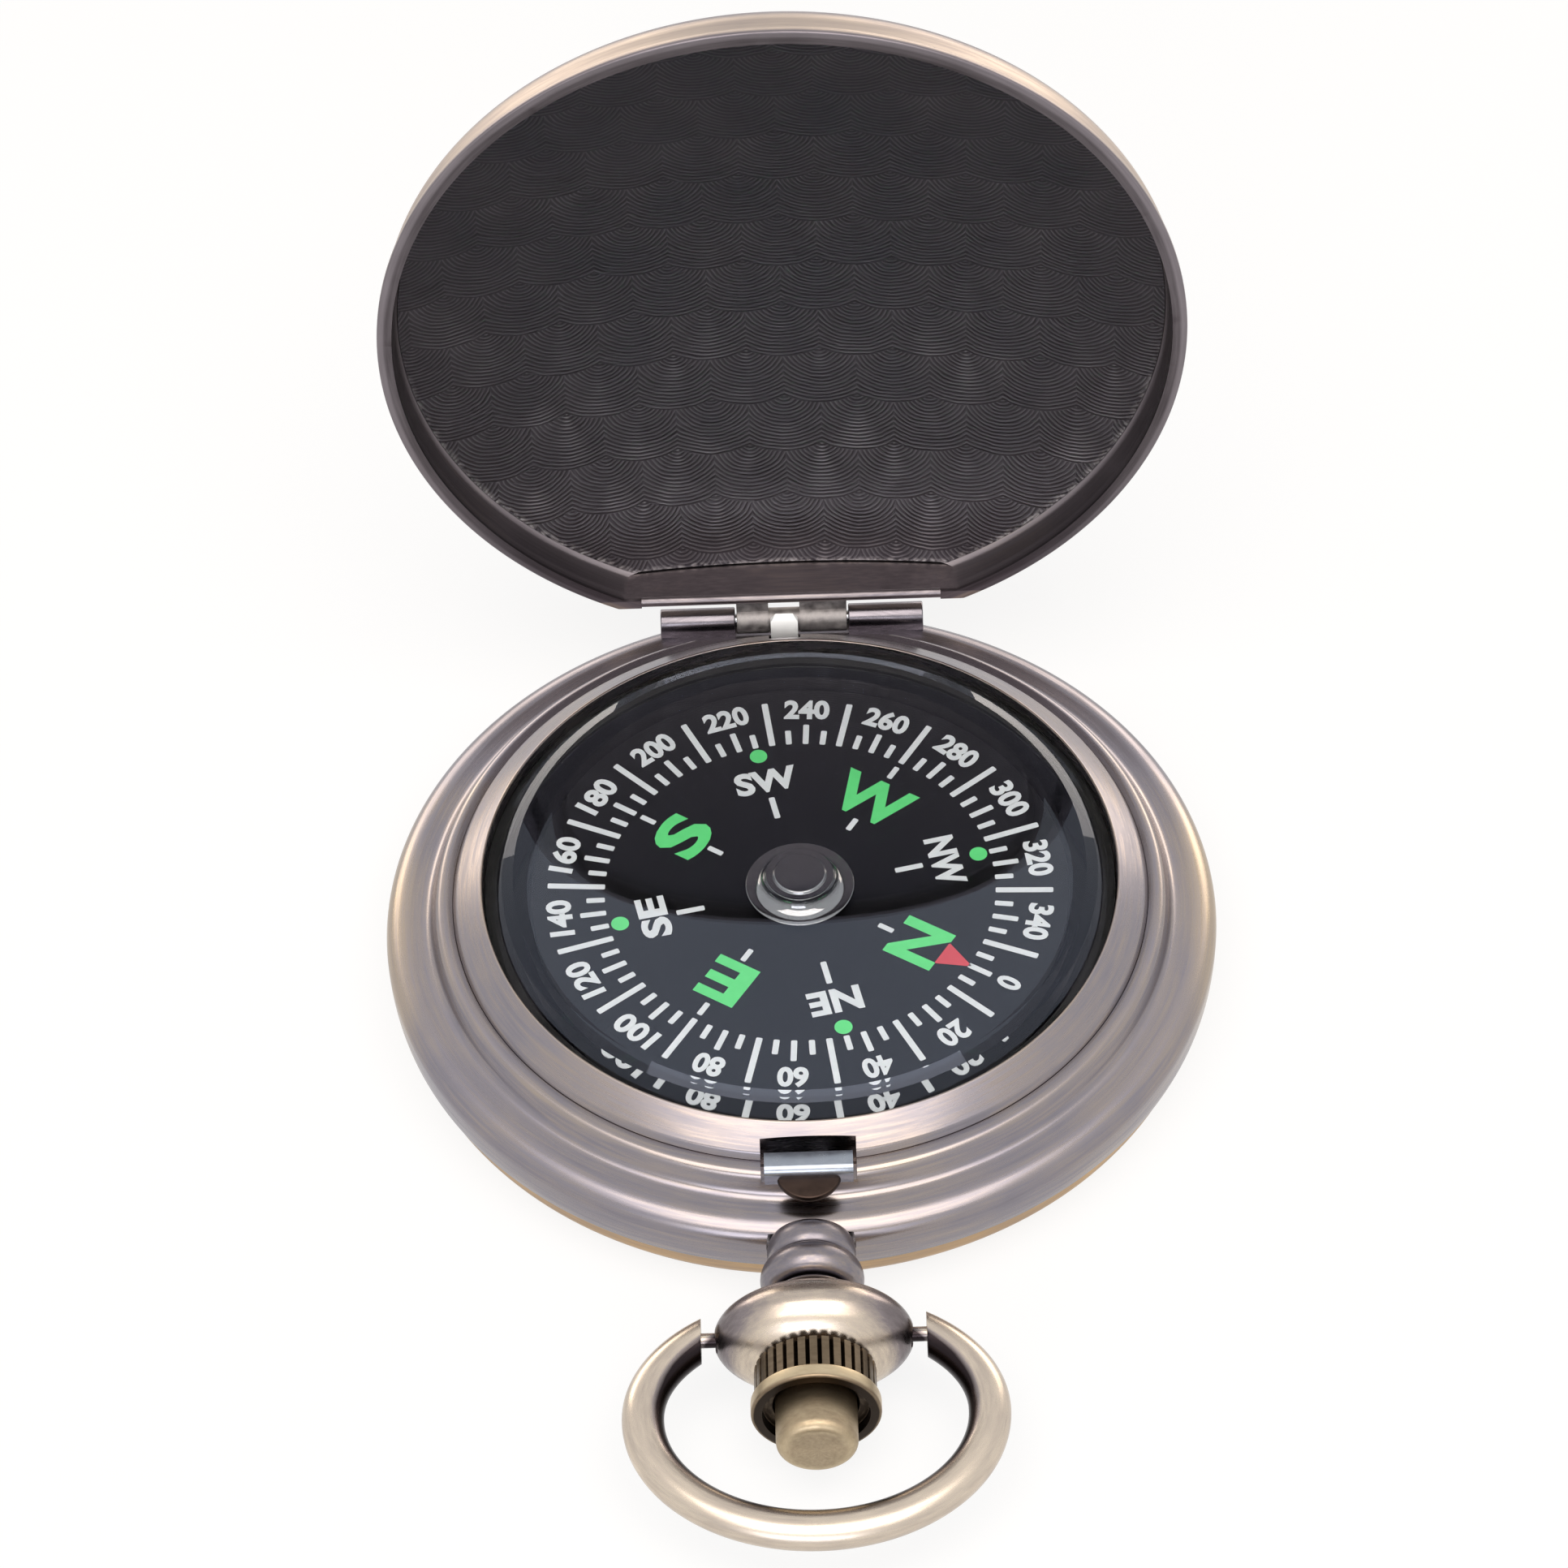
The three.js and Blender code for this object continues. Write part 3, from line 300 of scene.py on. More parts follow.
def antique_brass(name, axis="Z", centre=(0, 0, 0), turn=0, stretch=(1, 1, 1), wear=0.5, marks=(),
                  colours=(PATINA, "#7f7a80", "#c4b092"), roughness=0.4, anisotropic=0.6):
    """Marks are (measure, from, to, gain), with a measure from round_axis, or a ring's place,
    width and gain. A mark adds wear or dark skin, or a painted highlight or painted shade."""
    material, tree, shader, place = finish(name)
    direction, radius, height, depth, side = round_axis(tree, place, centre, turn, stretch)
    lines = brush_lines(tree, direction, radius, height, BRUSH_LINE, BRUSH_TURN)
    clouds = add(tree, "ShaderNodeTexNoise",
                 {"Vector": place, "Scale": 1 / CLOUD, "Detail": 4.0, "Roughness": 0.55})
    mixed = add(tree, "ShaderNodeMix", {0: CLOUD_SHARE, 2: lines, 3: clouds}, data_type="FLOAT")
    wear_and_shading = add(tree, "ShaderNodeMapRange",
               {"Value": mixed, "From Min": 0.25, "From Max": 0.75,
                "To Min": wear - WEAR_SPREAD, "To Max": wear + WEAR_SPREAD}, clamp=False)
    # each mark adds wear, dark skin, a painted highlight or painted shade to the value that picks the
    # colour
    for what, first, last, gain in marks:
        if what == "ring":
            across = add(tree, "ShaderNodeMath", {0: radius, 1: first[0] * MM}, operation="SUBTRACT")
            along = add(tree, "ShaderNodeMath", {0: height, 1: first[1] * MM}, operation="SUBTRACT")
            apart = add(tree, "ShaderNodeCombineXYZ", {"X": across, "Y": along})
            value = add(tree, "ShaderNodeVectorMath", {0: apart}, output="Value", operation="LENGTH")
            first, last, start_gain, end_gain = 0, last, gain, 0
        else:
            value = {"radius": radius, "height": height, "depth": depth, "side": side}[what]
            start_gain, end_gain = 0, gain
            if first > last:
                first, last, start_gain, end_gain = last, first, gain, 0
        mark = add(tree, "ShaderNodeMapRange",
                   {"Value": value, "From Min": first * MM, "From Max": last * MM,
                    "To Min": start_gain, "To Max": end_gain}, interpolation_type="SMOOTHSTEP")
        wear_and_shading = add(tree, "ShaderNodeMath", {0: wear_and_shading, 1: mark}, operation="ADD")
    ramp = tree.nodes.new("ShaderNodeValToRGB")
    tree.links.new(wear_and_shading, ramp.inputs[0])
    ramp.color_ramp.elements.new(0.5)
    for stop, code in zip(ramp.color_ramp.elements, colours):
        stop.color = linear(code)
    rough = add(tree, "ShaderNodeMapRange",
                {"Value": lines, "From Min": 0.3, "From Max": 0.7,
                 "To Min": roughness + ROUGH_SPREAD, "To Max": roughness - ROUGH_SPREAD})
    bump = add(tree, "ShaderNodeBump", {"Height": lines, "Strength": 0.35, "Distance": BRUSH_DEPTH})
    feed(tree, shader, {
        "Base Color": ramp.outputs[0], "Roughness": rough, "Normal": bump, "Metallic": 1.0})
    if anisotropic:
        tangent = add(tree, "ShaderNodeTangent", direction_type="RADIAL", axis=axis)
        feed(tree, shader, {"Anisotropic": anisotropic, "Tangent": tangent})
    return material


PENDANT = (0, 0, 4.9)
OLIVE = ("#2c231b", "#8c7b66", "#cab899")
case_brass = antique_brass("brushed_antique_brass_case", wear=0.55, marks=[
    ("ring", (20.4, 7.3), 0.4, 0.06),
    ("ring", (23.3, 3.05), 0.35, -0.35),
    # painted highlight: the left and right sides of the case lighter and more golden
    ("side", 21.0, 23.5, 0.25),
    # painted shade: the case darker towards the hinge, where the open lid is reflected
    ("depth", 7.0, 17.0, -0.2),
], colours=(PATINA, "#89848b", "#c4b092"), roughness=0.28, anisotropic=0.5)
bezel_brass = antique_brass("brushed_antique_brass_bezel", wear=0.55, marks=[
    ("ring", (17.9, 8.85), 0.12, 0.12),
], colours=(PATINA, "#89848a", "#c4ae90"), roughness=0.28, anisotropic=0.5)
back_brass = antique_brass("brushed_antique_brass_back", wear=0.75, marks=[
    ("height", 2.7, 3.0, -0.5),
], colours=(PATINA, "#857c7c", "#d6b07a"))
neck_brass = antique_brass("brushed_antique_brass_neck", "Y", PENDANT, 90, marks=[
    # partly dark skin and partly painted shade: the grooves between the beads darker
    ("radius", 2.3, 2.05, -0.5),
], roughness=0.32)
bulb_brass = antique_brass("brushed_antique_brass_bulb", "Y", PENDANT, 90, wear=0.8, marks=[
    # painted shade: the ball darker towards its ends, where it turns away from the lamps
    ("radius", 3.7, 5.2, -0.5),
], colours=(PATINA, "#887f80", "#e6d6bf"), roughness=0.28, anisotropic=0.3)
bow_brass = antique_brass("brushed_antique_brass_bow", "Z", (0, -34.45, 0), 0, (1, 1.3, 1), 0.76, [
    # painted shade: the inner edge of the bow darker, as in its shadow and dark reflection
    ("radius", 8.75, 8.2, -0.9),
], colours=("#2b2527", "#8d8483", "#ecdcc6"), roughness=0.28, anisotropic=0)
crown_brass = antique_brass("brushed_antique_brass_crown", "Y", PENDANT, 90, wear=0.9, marks=[
    ("radius", 3.4, 3.15, -0.9),
    # partly dark skin in the recess and partly painted shade: the front face of the crown darker
    ("height", -34.2, -34.45, -0.5),
], colours=OLIVE, roughness=0.34)
button_brass = antique_brass("brushed_antique_brass_button", "Y", PENDANT, 90, wear=0.7, marks=[
    # painted highlight, partly wear: a lighter ring at the edge of the button's face
    ("ring", (1.8, -36.65), 0.5, 0.2),
    ("height", -35.0, -34.0, -0.15),
], colours=OLIVE, roughness=0.45)
print("brass finishes:", len(bpy.data.materials))

# %% [markdown]
# ### Blackened plate with engine turning
# The plate inside the lid is brass that was blackened and then cut on a rose engine, in rows of
# overlapping scales with about sixteen fine arcs each. Every point asks how far it is from the middle
# of the scale that lies on top there. That distance, in a sine, gives the arcs, whose ridges are a
# little lighter. A wedge in each scale has a painted glint on its ridges, in patches and more towards
# the hinge, and the border is rubbed bare in specks.

# %% Blackened plate
LID_AXIS = (0, 22.2415, 28.357)
LID_TURN = 91
SCALE_WIDTH = 4.2 * MM
SCALE_ROW = 3.4 * MM
SCALE_RADIUS = 4.1 * MM
ARC_PITCH = 0.25 * MM
ARC_DEPTH = 0.008 * MM
BORDER_RADII = (21.3 * MM, 21.6 * MM)
BORDER_DEPTHS = (19.25 * MM, 19.5 * MM)
PLATE_DARK = "#4a4649"
# light tone of the ridges, and of their painted glint
PLATE_LINE_AND_GLINT = "#c4bec0"
PLATE_RUBBED = "#c4bebb"


def engine_turned_plate():
    material, tree, shader, place = finish("blackened_brass_engine_turned")
    parts = tree.nodes.new("ShaderNodeSeparateXYZ")
    tree.links.new(place, parts.inputs[0])
    across = add(tree, "ShaderNodeMath", {0: parts.outputs["X"], 1: SCALE_WIDTH}, operation="DIVIDE")
    rows = add(tree, "ShaderNodeMath", {0: parts.outputs["Z"], 1: SCALE_ROW}, operation="DIVIDE")
    row = add(tree, "ShaderNodeMath", {0: rows}, operation="FLOOR")
    distance = spread = None
    for step in (1, 2):
        this_row = add(tree, "ShaderNodeMath", {0: row, 1: float(step)}, operation="ADD")
        odd = add(tree, "ShaderNodeMath", {0: this_row, 1: 2.0}, operation="FLOORED_MODULO")
        shift = add(tree, "ShaderNodeMath", {0: odd, 1: -0.5, 2: across}, operation="MULTIPLY_ADD")
        beside = add(tree, "ShaderNodeMath", {0: shift, 1: -0.5, 2: 0.5}, operation="WRAP")
        beside = add(tree, "ShaderNodeMath", {0: beside, 1: SCALE_WIDTH}, operation="MULTIPLY")
        below = add(tree, "ShaderNodeMath", {0: rows, 1: this_row}, operation="SUBTRACT")
        below = add(tree, "ShaderNodeMath", {0: below, 1: SCALE_ROW}, operation="MULTIPLY")
        across_lines = add(tree, "ShaderNodeCombineXYZ", {"X": beside, "Z": below})
        apart = add(tree, "ShaderNodeVectorMath", {0: across_lines}, output="Value", operation="LENGTH")
        if distance is None:
            distance, spread = apart, across_lines
            continue
        inside = add(tree, "ShaderNodeMath", {0: apart, 1: SCALE_RADIUS}, operation="LESS_THAN")
        distance = add(tree, "ShaderNodeMix", {0: inside, 2: distance, 3: apart}, data_type="FLOAT")
        spread = add(tree, "ShaderNodeMix", {0: inside, 4: spread, 5: across_lines},
                     output=1, data_type="VECTOR")
    shake = add(tree, "ShaderNodeTexNoise", {"Vector": place, "Scale": 1 / (1.5 * MM), "Detail": 2.0})
    distance = add(tree, "ShaderNodeMath", {0: shake, 1: ARC_PITCH, 2: distance},
                   operation="MULTIPLY_ADD")
    turn = add(tree, "ShaderNodeMath", {0: distance, 1: math.tau / ARC_PITCH}, operation="MULTIPLY")
    wave = add(tree, "ShaderNodeMath", {0: turn}, operation="SINE")
    patch_noise = add(tree, "ShaderNodeTexNoise", {"Vector": place, "Scale": 1 / (5 * MM), "Detail": 5.0})
    _, radius, _, depth, _ = round_axis(tree, place, LID_AXIS, LID_TURN, (1, 1, 1))
    # painted glint: ridges in a fan-shaped wedge of each scale lighter, in patches and more towards the
    # hinge
    fan = tree.nodes.new("ShaderNodeSeparateXYZ")
    tree.links.new(add(tree, "ShaderNodeVectorMath", {0: spread}, operation="NORMALIZE"), fan.inputs[0])
    fan = add(tree, "ShaderNodeMath", {0: fan.outputs["X"]}, operation="ABSOLUTE")
    fan = add(tree, "ShaderNodeMapRange", {"Value": fan, "From Max": 0.55, "To Min": 1.0, "To Max": 0.0},
              interpolation_type="SMOOTHSTEP")
    painted_glint_and_lines = add(tree, "ShaderNodeMapRange", {"Value": depth, "From Min": -6 * MM, "From Max": 14 * MM})
    painted_glint_and_lines = add(tree, "ShaderNodeMath", {0: painted_glint_and_lines, 1: fan}, operation="MULTIPLY")
    glint_patches = add(tree, "ShaderNodeMapRange",
                 {"Value": patch_noise, "From Min": 0.45, "From Max": 0.65, "To Max": 0.5})
    painted_glint_and_lines = add(tree, "ShaderNodeMath", {0: painted_glint_and_lines, 1: glint_patches, 2: 0.12}, operation="MULTIPLY_ADD")
    ridge = add(tree, "ShaderNodeMapRange", {"Value": wave, "From Min": -0.1, "To Max": 1.0})
    shown = add(tree, "ShaderNodeMath", {0: ridge, 1: painted_glint_and_lines}, operation="MULTIPLY")
    colour = add(tree, "ShaderNodeMix", {0: shown, 6: linear(PLATE_DARK), 7: linear(PLATE_LINE_AND_GLINT)},
                 output=2, data_type="RGBA")
    rim = add(tree, "ShaderNodeMapRange",
              {"Value": radius, "From Min": BORDER_RADII[0], "From Max": BORDER_RADII[1]})
    chord = add(tree, "ShaderNodeMapRange",
                {"Value": depth, "From Min": BORDER_DEPTHS[0], "From Max": BORDER_DEPTHS[1]})
    border = add(tree, "ShaderNodeMath", {0: rim, 1: chord}, operation="MAXIMUM")
    specks = add(tree, "ShaderNodeTexNoise", {"Vector": place, "Scale": 1 / (0.4 * MM), "Detail": 2.0})
    specks = add(tree, "ShaderNodeMapRange", {"Value": specks, "From Min": 0.4, "From Max": 0.6})
    low = add(tree, "ShaderNodeMapRange", {"Value": depth, "From Max": 15 * MM, "To Max": 0.6})
    rubbed = add(tree, "ShaderNodeMath", {0: border, 1: specks}, operation="MULTIPLY")
    rubbed = add(tree, "ShaderNodeMath", {0: rubbed, 1: low}, operation="MULTIPLY")
    colour = add(tree, "ShaderNodeMix", {0: rubbed, 6: colour, 7: linear(PLATE_RUBBED)},
                 output=2, data_type="RGBA")
    rough = add(tree, "ShaderNodeMapRange",
                {"Value": patch_noise, "From Min": 0.3, "From Max": 0.7, "To Min": 0.3, "To Max": 0.45})
    bump = add(tree, "ShaderNodeBump", {"Height": wave, "Strength": 0.6, "Distance": ARC_DEPTH})
    groove = add(tree, "ShaderNodeVectorMath", {0: spread, 1: (0, 1, 0)}, operation="CROSS_PRODUCT")
    groove = add(tree, "ShaderNodeVectorTransform", {0: groove}, vector_type="VECTOR",
                 convert_from="OBJECT", convert_to="WORLD")
    feed(tree, shader, {"Base Color": colour, "Roughness": rough, "Normal": bump,
                        "Tangent": groove, "Anisotropic": 0.6, "Metallic": 1.0})
    return material


plate_black = engine_turned_plate()
print("plate finish:", plate_black.name)

# %% [markdown]
# ### Steel, chrome, enamel, ink, plastic and crystal
# The small pieces are simpler. Steel and chrome differ in how they were polished. Enamel, plastic and
# rubber are black with a fine grain, and ink has a slightly uneven film. The crystal is a clear
# acrylic dome, with a refractive index of 1.5.

# %% Small finishes
GRAIN_DEPTH = 0.01 * MM


def grained(name, dark, light, grain, metallic=0.0, rough=(0.3, 0.4), bump=0.1, specular=0.5):
    """Two close tones in a grain of that size in millimetres, with the roughness following it."""
    material, tree, shader, place = finish(name)
    noise = add(tree, "ShaderNodeTexNoise", {"Vector": place, "Scale": 1 / (grain * MM), "Detail": 4.0})
    colour = add(tree, "ShaderNodeMix", {0: noise, 6: linear(dark), 7: linear(light)},
                 output=2, data_type="RGBA")
    level = add(tree, "ShaderNodeMapRange", {
        "Value": noise, "From Min": 0.3, "From Max": 0.7, "To Min": rough[0], "To Max": rough[1]})
    uneven = add(tree, "ShaderNodeBump", {"Height": noise, "Strength": bump, "Distance": GRAIN_DEPTH})
    feed(tree, shader, {"Base Color": colour, "Roughness": level, "Normal": uneven,
                        "Metallic": metallic, "Specular IOR Level": specular})
    return material


steel = grained("spring_steel", "#a9abb0", "#c9cbcf", 0.3, 1.0, (0.22, 0.34))
latch_steel = grained("polished_latch_steel", "#8b919c", "#a2a8b2", 0.6, 1.0, (0.2, 0.28), 0.02)
nickel = grained("bead_blasted_nickel", "#f2f3f3", "#fafafa", 0.6, 1.0, (0.75, 0.85), 0.02)
browned_steel = grained("browned_spring_steel", "#2e2522", "#4d3f38", 0.6, 1.0, (0.3, 0.42), 0.05)
knuckle_brass = grained("worn_cast_brass", "#575356", "#c9c4c2", 0.45, 1.0, (0.5, 0.7), 0.6)
chrome = grained("polished_chrome", "#8a8b8f", "#9b9ca0", 1.0, 1.0, (0.05, 0.1), 0.02)
enamel = grained("black_enamel", "#08080a", "#0d0d10", 0.2, 0.0, (0.4, 0.5), 0.002, 0.15)
white_ink = grained("white_dial_ink", "#e4ebf2", "#f3f8fc", 0.4, 0.0, (0.45, 0.6), 0.05)
green_ink = grained("green_dial_ink", "#58e580", "#70f595", 0.4, 0.0, (0.45, 0.6), 0.05)
red_ink = grained("red_dial_ink", "#da3f4c", "#e6505c", 0.4, 0.0, (0.45, 0.6), 0.05)
black_plastic = grained("black_moulded_plastic", "#0b0b0d", "#131316", 0.15, 0.0, (0.4, 0.55), 0.01)
rubber = grained("black_rubber", "#0d0d0e", "#161617", 0.12, 0.0, (0.65, 0.8), 0.02)
magnet_iron = grained("ferrite_magnet", "#4b4c50", "#66676b", 0.25, 1.0, (0.45, 0.6), 0.2)
ruby = grained("synthetic_ruby", "#7c1430", "#931b3b", 0.5, 0.0, (0.05, 0.12), 0.02)


CRYSTAL_HAZE = 0.012


def clear_acrylic():
    material, tree, shader, place = finish("polished_clear_acrylic")
    noise = add(tree, "ShaderNodeTexNoise", {"Vector": place, "Scale": 1 / (6 * MM), "Detail": 2.0})
    level = add(tree, "ShaderNodeMapRange", {"Value": noise, "To Max": CRYSTAL_HAZE})
    feed(tree, shader, {"Base Color": linear("#fbfcfd"), "Roughness": level, "IOR": 1.5,
                        "Transmission Weight": 1.0, "Specular Tint": linear("#c6d2ee")})
    return material


acrylic = clear_acrylic()
print("small finishes:", len(bpy.data.materials), "materials in all")

# %% [markdown]
# ## The case
# The middle ring is one turning: a rounded side, a flat ledge that the lid closes on, and a raised
# step. After the lathe come the cuts, as in the workshop: a flat behind the hinge, the notch for the
# latch, a seat for the pendant, and the hinge knuckles, which are soldered on.

# %% Sizes of the case and the hinge
CASE_RADIUS = 23.5
CREST_RADIUS = 22.05
CASE_BORE = 21.6
STEP_RADIUS = 20.5
BEZEL_BORE = 19.6
SHOULDER_RADIUS = 18.7
SEAM_Z = 3.0
EQUATOR_Z = 4.9
FLANGE_Z = 5.0
LEDGE_Z = 6.05
STEP_Z = 7.4
BEZEL_Z = 8.85
NOTCH_X = (-2.6, 2.6)
NOTCH_Y = -18.58
NOTCH_Z = 6.9
BOLT_Y = -20.1
POCKET_X = (-2.3, 2.3)
STEM_BORE = 0.6
SPRING_BORE = 1.6
STEP_FLAT_Y = 19.5
HINGE_Y = 21.86
HINGE_Z = 6.5
KNUCKLE_RADIUS = 0.8
KNUCKLE_X = (3.35, 7.75)
LID_KNUCKLE_X = (-3.25, 3.25)
PIN_RADIUS = 0.4
TIP_X = (-1.25, 0.35)
TIP_Y = (20.745, 21.095)
TIP_ROOM = 0.3
SLOT_X = (TIP_X[0] - 0.12, TIP_X[1] + 0.12)
SIDE_ROUND = 0.3
BEYOND_Y = -40
PIN_BORE = PIN_RADIUS + 0.05
PIN_BORE_X = (-9, 9)


def pendant_bore(name, radius, end, steps=48):
    """A cutter along the axis of the pendant, from beyond the button to that end."""
    profile = [(0, BEYOND_Y), (radius, BEYOND_Y), (radius, end), (0, end)]
    return turned(name, profile, "Y", PENDANT, steps)


# %% Middle ring
side = arc((CASE_RADIUS - SIDE_ROUND, EQUATOR_Z), (SIDE_ROUND, EQUATOR_Z - SEAM_Z), -90, 0)
crest = arc((CREST_RADIUS, EQUATOR_Z), (CASE_RADIUS - CREST_RADIUS, LEDGE_Z - EQUATOR_Z), 0, 90, 20)
middle = turned("case_middle_ring", rounded([
    (CASE_BORE, SEAM_Z),
    *side,
    *crest[1:],
    (STEP_RADIUS + 0.5, LEDGE_Z, 0.45),
    (STEP_RADIUS - 0.05, STEP_Z, 0.4),
    (BEZEL_BORE, STEP_Z, 0.03),
    (BEZEL_BORE, LEDGE_Z),
    (SHOULDER_RADIUS, LEDGE_Z),
    (SHOULDER_RADIUS, FLANGE_Z),
    (CASE_BORE, FLANGE_Z),
    (CASE_BORE, SEAM_Z),
]), steps=240)
combine(
    middle, "DIFFERENCE",
    block("flat", (-24, 24), (STEP_FLAT_Y, 24), (LEDGE_Z, BEZEL_Z)),
    block("notch", NOTCH_X, (-CREST_RADIUS, NOTCH_Y), (NOTCH_Z, BEZEL_Z)),
    block("bolt_slot", POCKET_X, (BOLT_Y - 0.1, NOTCH_Y), (EQUATOR_Z, STEP_Z)),
    pendant_bore("neck_seat", 2.42, -23.05, 64),
    pendant_bore("stem_bore", STEM_BORE, NOTCH_Y),
    bar("knuckle_well", 1.1, (-KNUCKLE_X[0], KNUCKLE_X[0]), HINGE_Y, HINGE_Z),
    block("tip_slot", (TIP_X[0] - TIP_ROOM, TIP_X[1] + TIP_ROOM),
          (TIP_Y[0] - TIP_ROOM, TIP_Y[1] + TIP_ROOM), (EQUATOR_Z, STEP_Z)),
)
for sign in (-1, 1):
    reach = sorted(sign * x for x in KNUCKLE_X)
    combine(
        middle, "UNION",
        block("saddle", reach, (HINGE_Y - KNUCKLE_RADIUS, HINGE_Y), (FLANGE_Z, HINGE_Z)),
        soften(bar("knuckle", KNUCKLE_RADIUS, reach, HINGE_Y, HINGE_Z), 0.08),
    )
combine(middle, "DIFFERENCE", bar("pin_hole", PIN_BORE, PIN_BORE_X, HINGE_Y, HINGE_Z))
settle(middle, "case", "case_brass", case_brass, "case_body")

# %% Hinge pin
pin = soften(bar("hinge_pin_steel", PIN_RADIUS, (-7.65, 7.65), HINGE_Y, HINGE_Z), 0.12)
settle(pin, "case", "steel", steel, "hinge_pin")

# %% [markdown]
# The back snaps into the ring from below, and the bezel is pressed into the step from above. Both
# are plain turnings. The bezel is cut away over the latch, and a little by the tip of the lift spring.

# %% Back cover
BACK_RADIUS = 22.8
BACK_EDGE_Z = 1.9
back = turned("back_cover_dish", rounded([
    (0, 0),
    *arc((BACK_RADIUS - 5.5, BACK_EDGE_Z), (5.5, BACK_EDGE_Z), -90, 0, 24),
    (BACK_RADIUS, 2.95, 0.12),
    (21.5, 2.95),
    (21.5, 3.5),
    (20.7, 3.5),
    (20.7, 2.3),
    (18.8, 0.8, 0.5),
    (0, 0.8),
]))
settle(back, "case", "case_brass", back_brass, "back_cover")

# %% Bezel
BEZEL_RADIUS = 19.58
BEZEL_INNER = 17.84
bezel = turned("bezel_sloped_ring", rounded([
    (BEZEL_INNER, LEDGE_Z),
    (BEZEL_RADIUS, LEDGE_Z),
    (BEZEL_RADIUS, STEP_Z + 0.02, 0.02),
    (BEZEL_RADIUS - 0.2, STEP_Z + 0.4, 0.08),
    (BEZEL_INNER + 0.12, BEZEL_Z, 0.1),
    (BEZEL_INNER, BEZEL_Z, 0.05),
    (BEZEL_INNER, LEDGE_Z),
]), steps=240)
combine(
    bezel, "DIFFERENCE",
    block("notch", NOTCH_X, (-24, NOTCH_Y), (FLANGE_Z, BEZEL_Z + 1)),
    block("spring_notch", SLOT_X, (18.4, 24), (7.0, BEZEL_Z + 1)),
)
settle(bezel, "case", "case_brass", bezel_brass, "bezel_ring")

# %% [markdown]
# ## Crystal and capsule
# The crystal is a dome of acrylic with a hollow underside and two bevels at its edge. It has a real
# thickness, because the bevels bend the view of the dial: near the rim the numbers show a second time.
# The bevels are left sharp, so that each one shades flat.

# %% Crystal
CRYSTAL_RADIUS = 17.74
CRYSTAL_Z = 7.23
HOLLOW_RADIUS = 15.2
HOLLOW_RISE = 1.57
STEEP_BEVEL_Z = 8.05
FLAT_BEVEL = (16.75, 8.96)
DOME_EDGE = (16.1, 9.267)
DOME_RISE = 1.403
crystal = turned("crystal_dome", rounded([
    *reversed(dome(HOLLOW_RADIUS, CRYSTAL_Z, HOLLOW_RISE, 32)),
    (CRYSTAL_RADIUS, CRYSTAL_Z, 0.05),
    (CRYSTAL_RADIUS, STEEP_BEVEL_Z, 0),
    (*FLAT_BEVEL, 0),
    *dome(*DOME_EDGE, DOME_RISE, 32),
]), steps=256)
settle(crystal, "case", "crystal", acrylic, "crystal", angle=8)

# %% Gasket and cup
CUP_RADIUS = 17.64
CUP_INNER = 16.44
CUP_Z = (1.2, 6.75)
CUP_FLOOR_Z = 2.0
GASKET_Z = (6.8, 7.15)
gasket = turned("gasket_ring", rounded(ring((CUP_INNER, CUP_RADIUS), GASKET_Z)))
settle(gasket, "case", "gasket", rubber, "crystal_gasket")
cup = turned("capsule_cup_black", rounded([
    (0, CUP_Z[0]),
    (CUP_RADIUS, CUP_Z[0], 0.3),
    (CUP_RADIUS, CUP_Z[1]),
    (CUP_INNER, CUP_Z[1], 0.15),
    (CUP_INNER, CUP_FLOOR_Z, 0.4),
    (0, CUP_FLOOR_Z),
]))
settle(cup, "case", "capsule", black_plastic, "capsule_cup")

# %% [markdown]
# ## Dial
# The card is a thin black disc that floats on a needle, with a stepped chrome cap at its middle. The
# degrees run clockwise from north, which points to the right and a little towards the pendant.
# Ticks are modelled once and copied, and the letters are text that is made a mesh.

# %% Card and hub
CARD_Z = (6.15, 6.5)
CARD_RADII = (1.4, 15.04)
card = turned("dial_card_black", rounded(ring(CARD_RADII, CARD_Z), 0.04))
settle(card, "card", "card", enamel, "compass_card")
hub = turned("hub_cap_chrome", rounded([
    (0, 7.55), (1.15, 7.55), (1.15, 6.55), (2.0, 6.55), (3.05, 6.86, 0.03), (3.05, 6.98, 0.06),
    *arc((2.75, 7.85), (0.85, 0.85), -90, -172, 12),
    (1.9, 7.78, 0.1), (1.5, 7.78, 0.02), (1.42, 7.9, 0.1), (0, 7.93)]), steps=128)
settle(hub, "card", "hub_chrome", chrome, "hub_cap")

# %% Ink marks
NORTH = -33
INK_Z = (CARD_Z[1], 6.515)
INK = INK_Z[1] - INK_Z[0]


def ink_dash(name, width, inner, outer):
    """A flat dash with rounded corners on the line to the north, as thick as a film of ink."""
    dash = start(name, bpy.ops.mesh.primitive_plane_add, size=1, scale=(outer - inner, width, 1),
                 location=((inner + outer) / 2, 0, INK_Z[0]))
    edit(dash,
         lambda: bpy.ops.mesh.bevel(affect="VERTICES", offset=0.07, segments=2),
         lambda: bpy.ops.mesh.extrude_region_move(TRANSFORM_OT_translate={"value": (0, 0, INK)}),
         merge_and_face_out)
    return dash


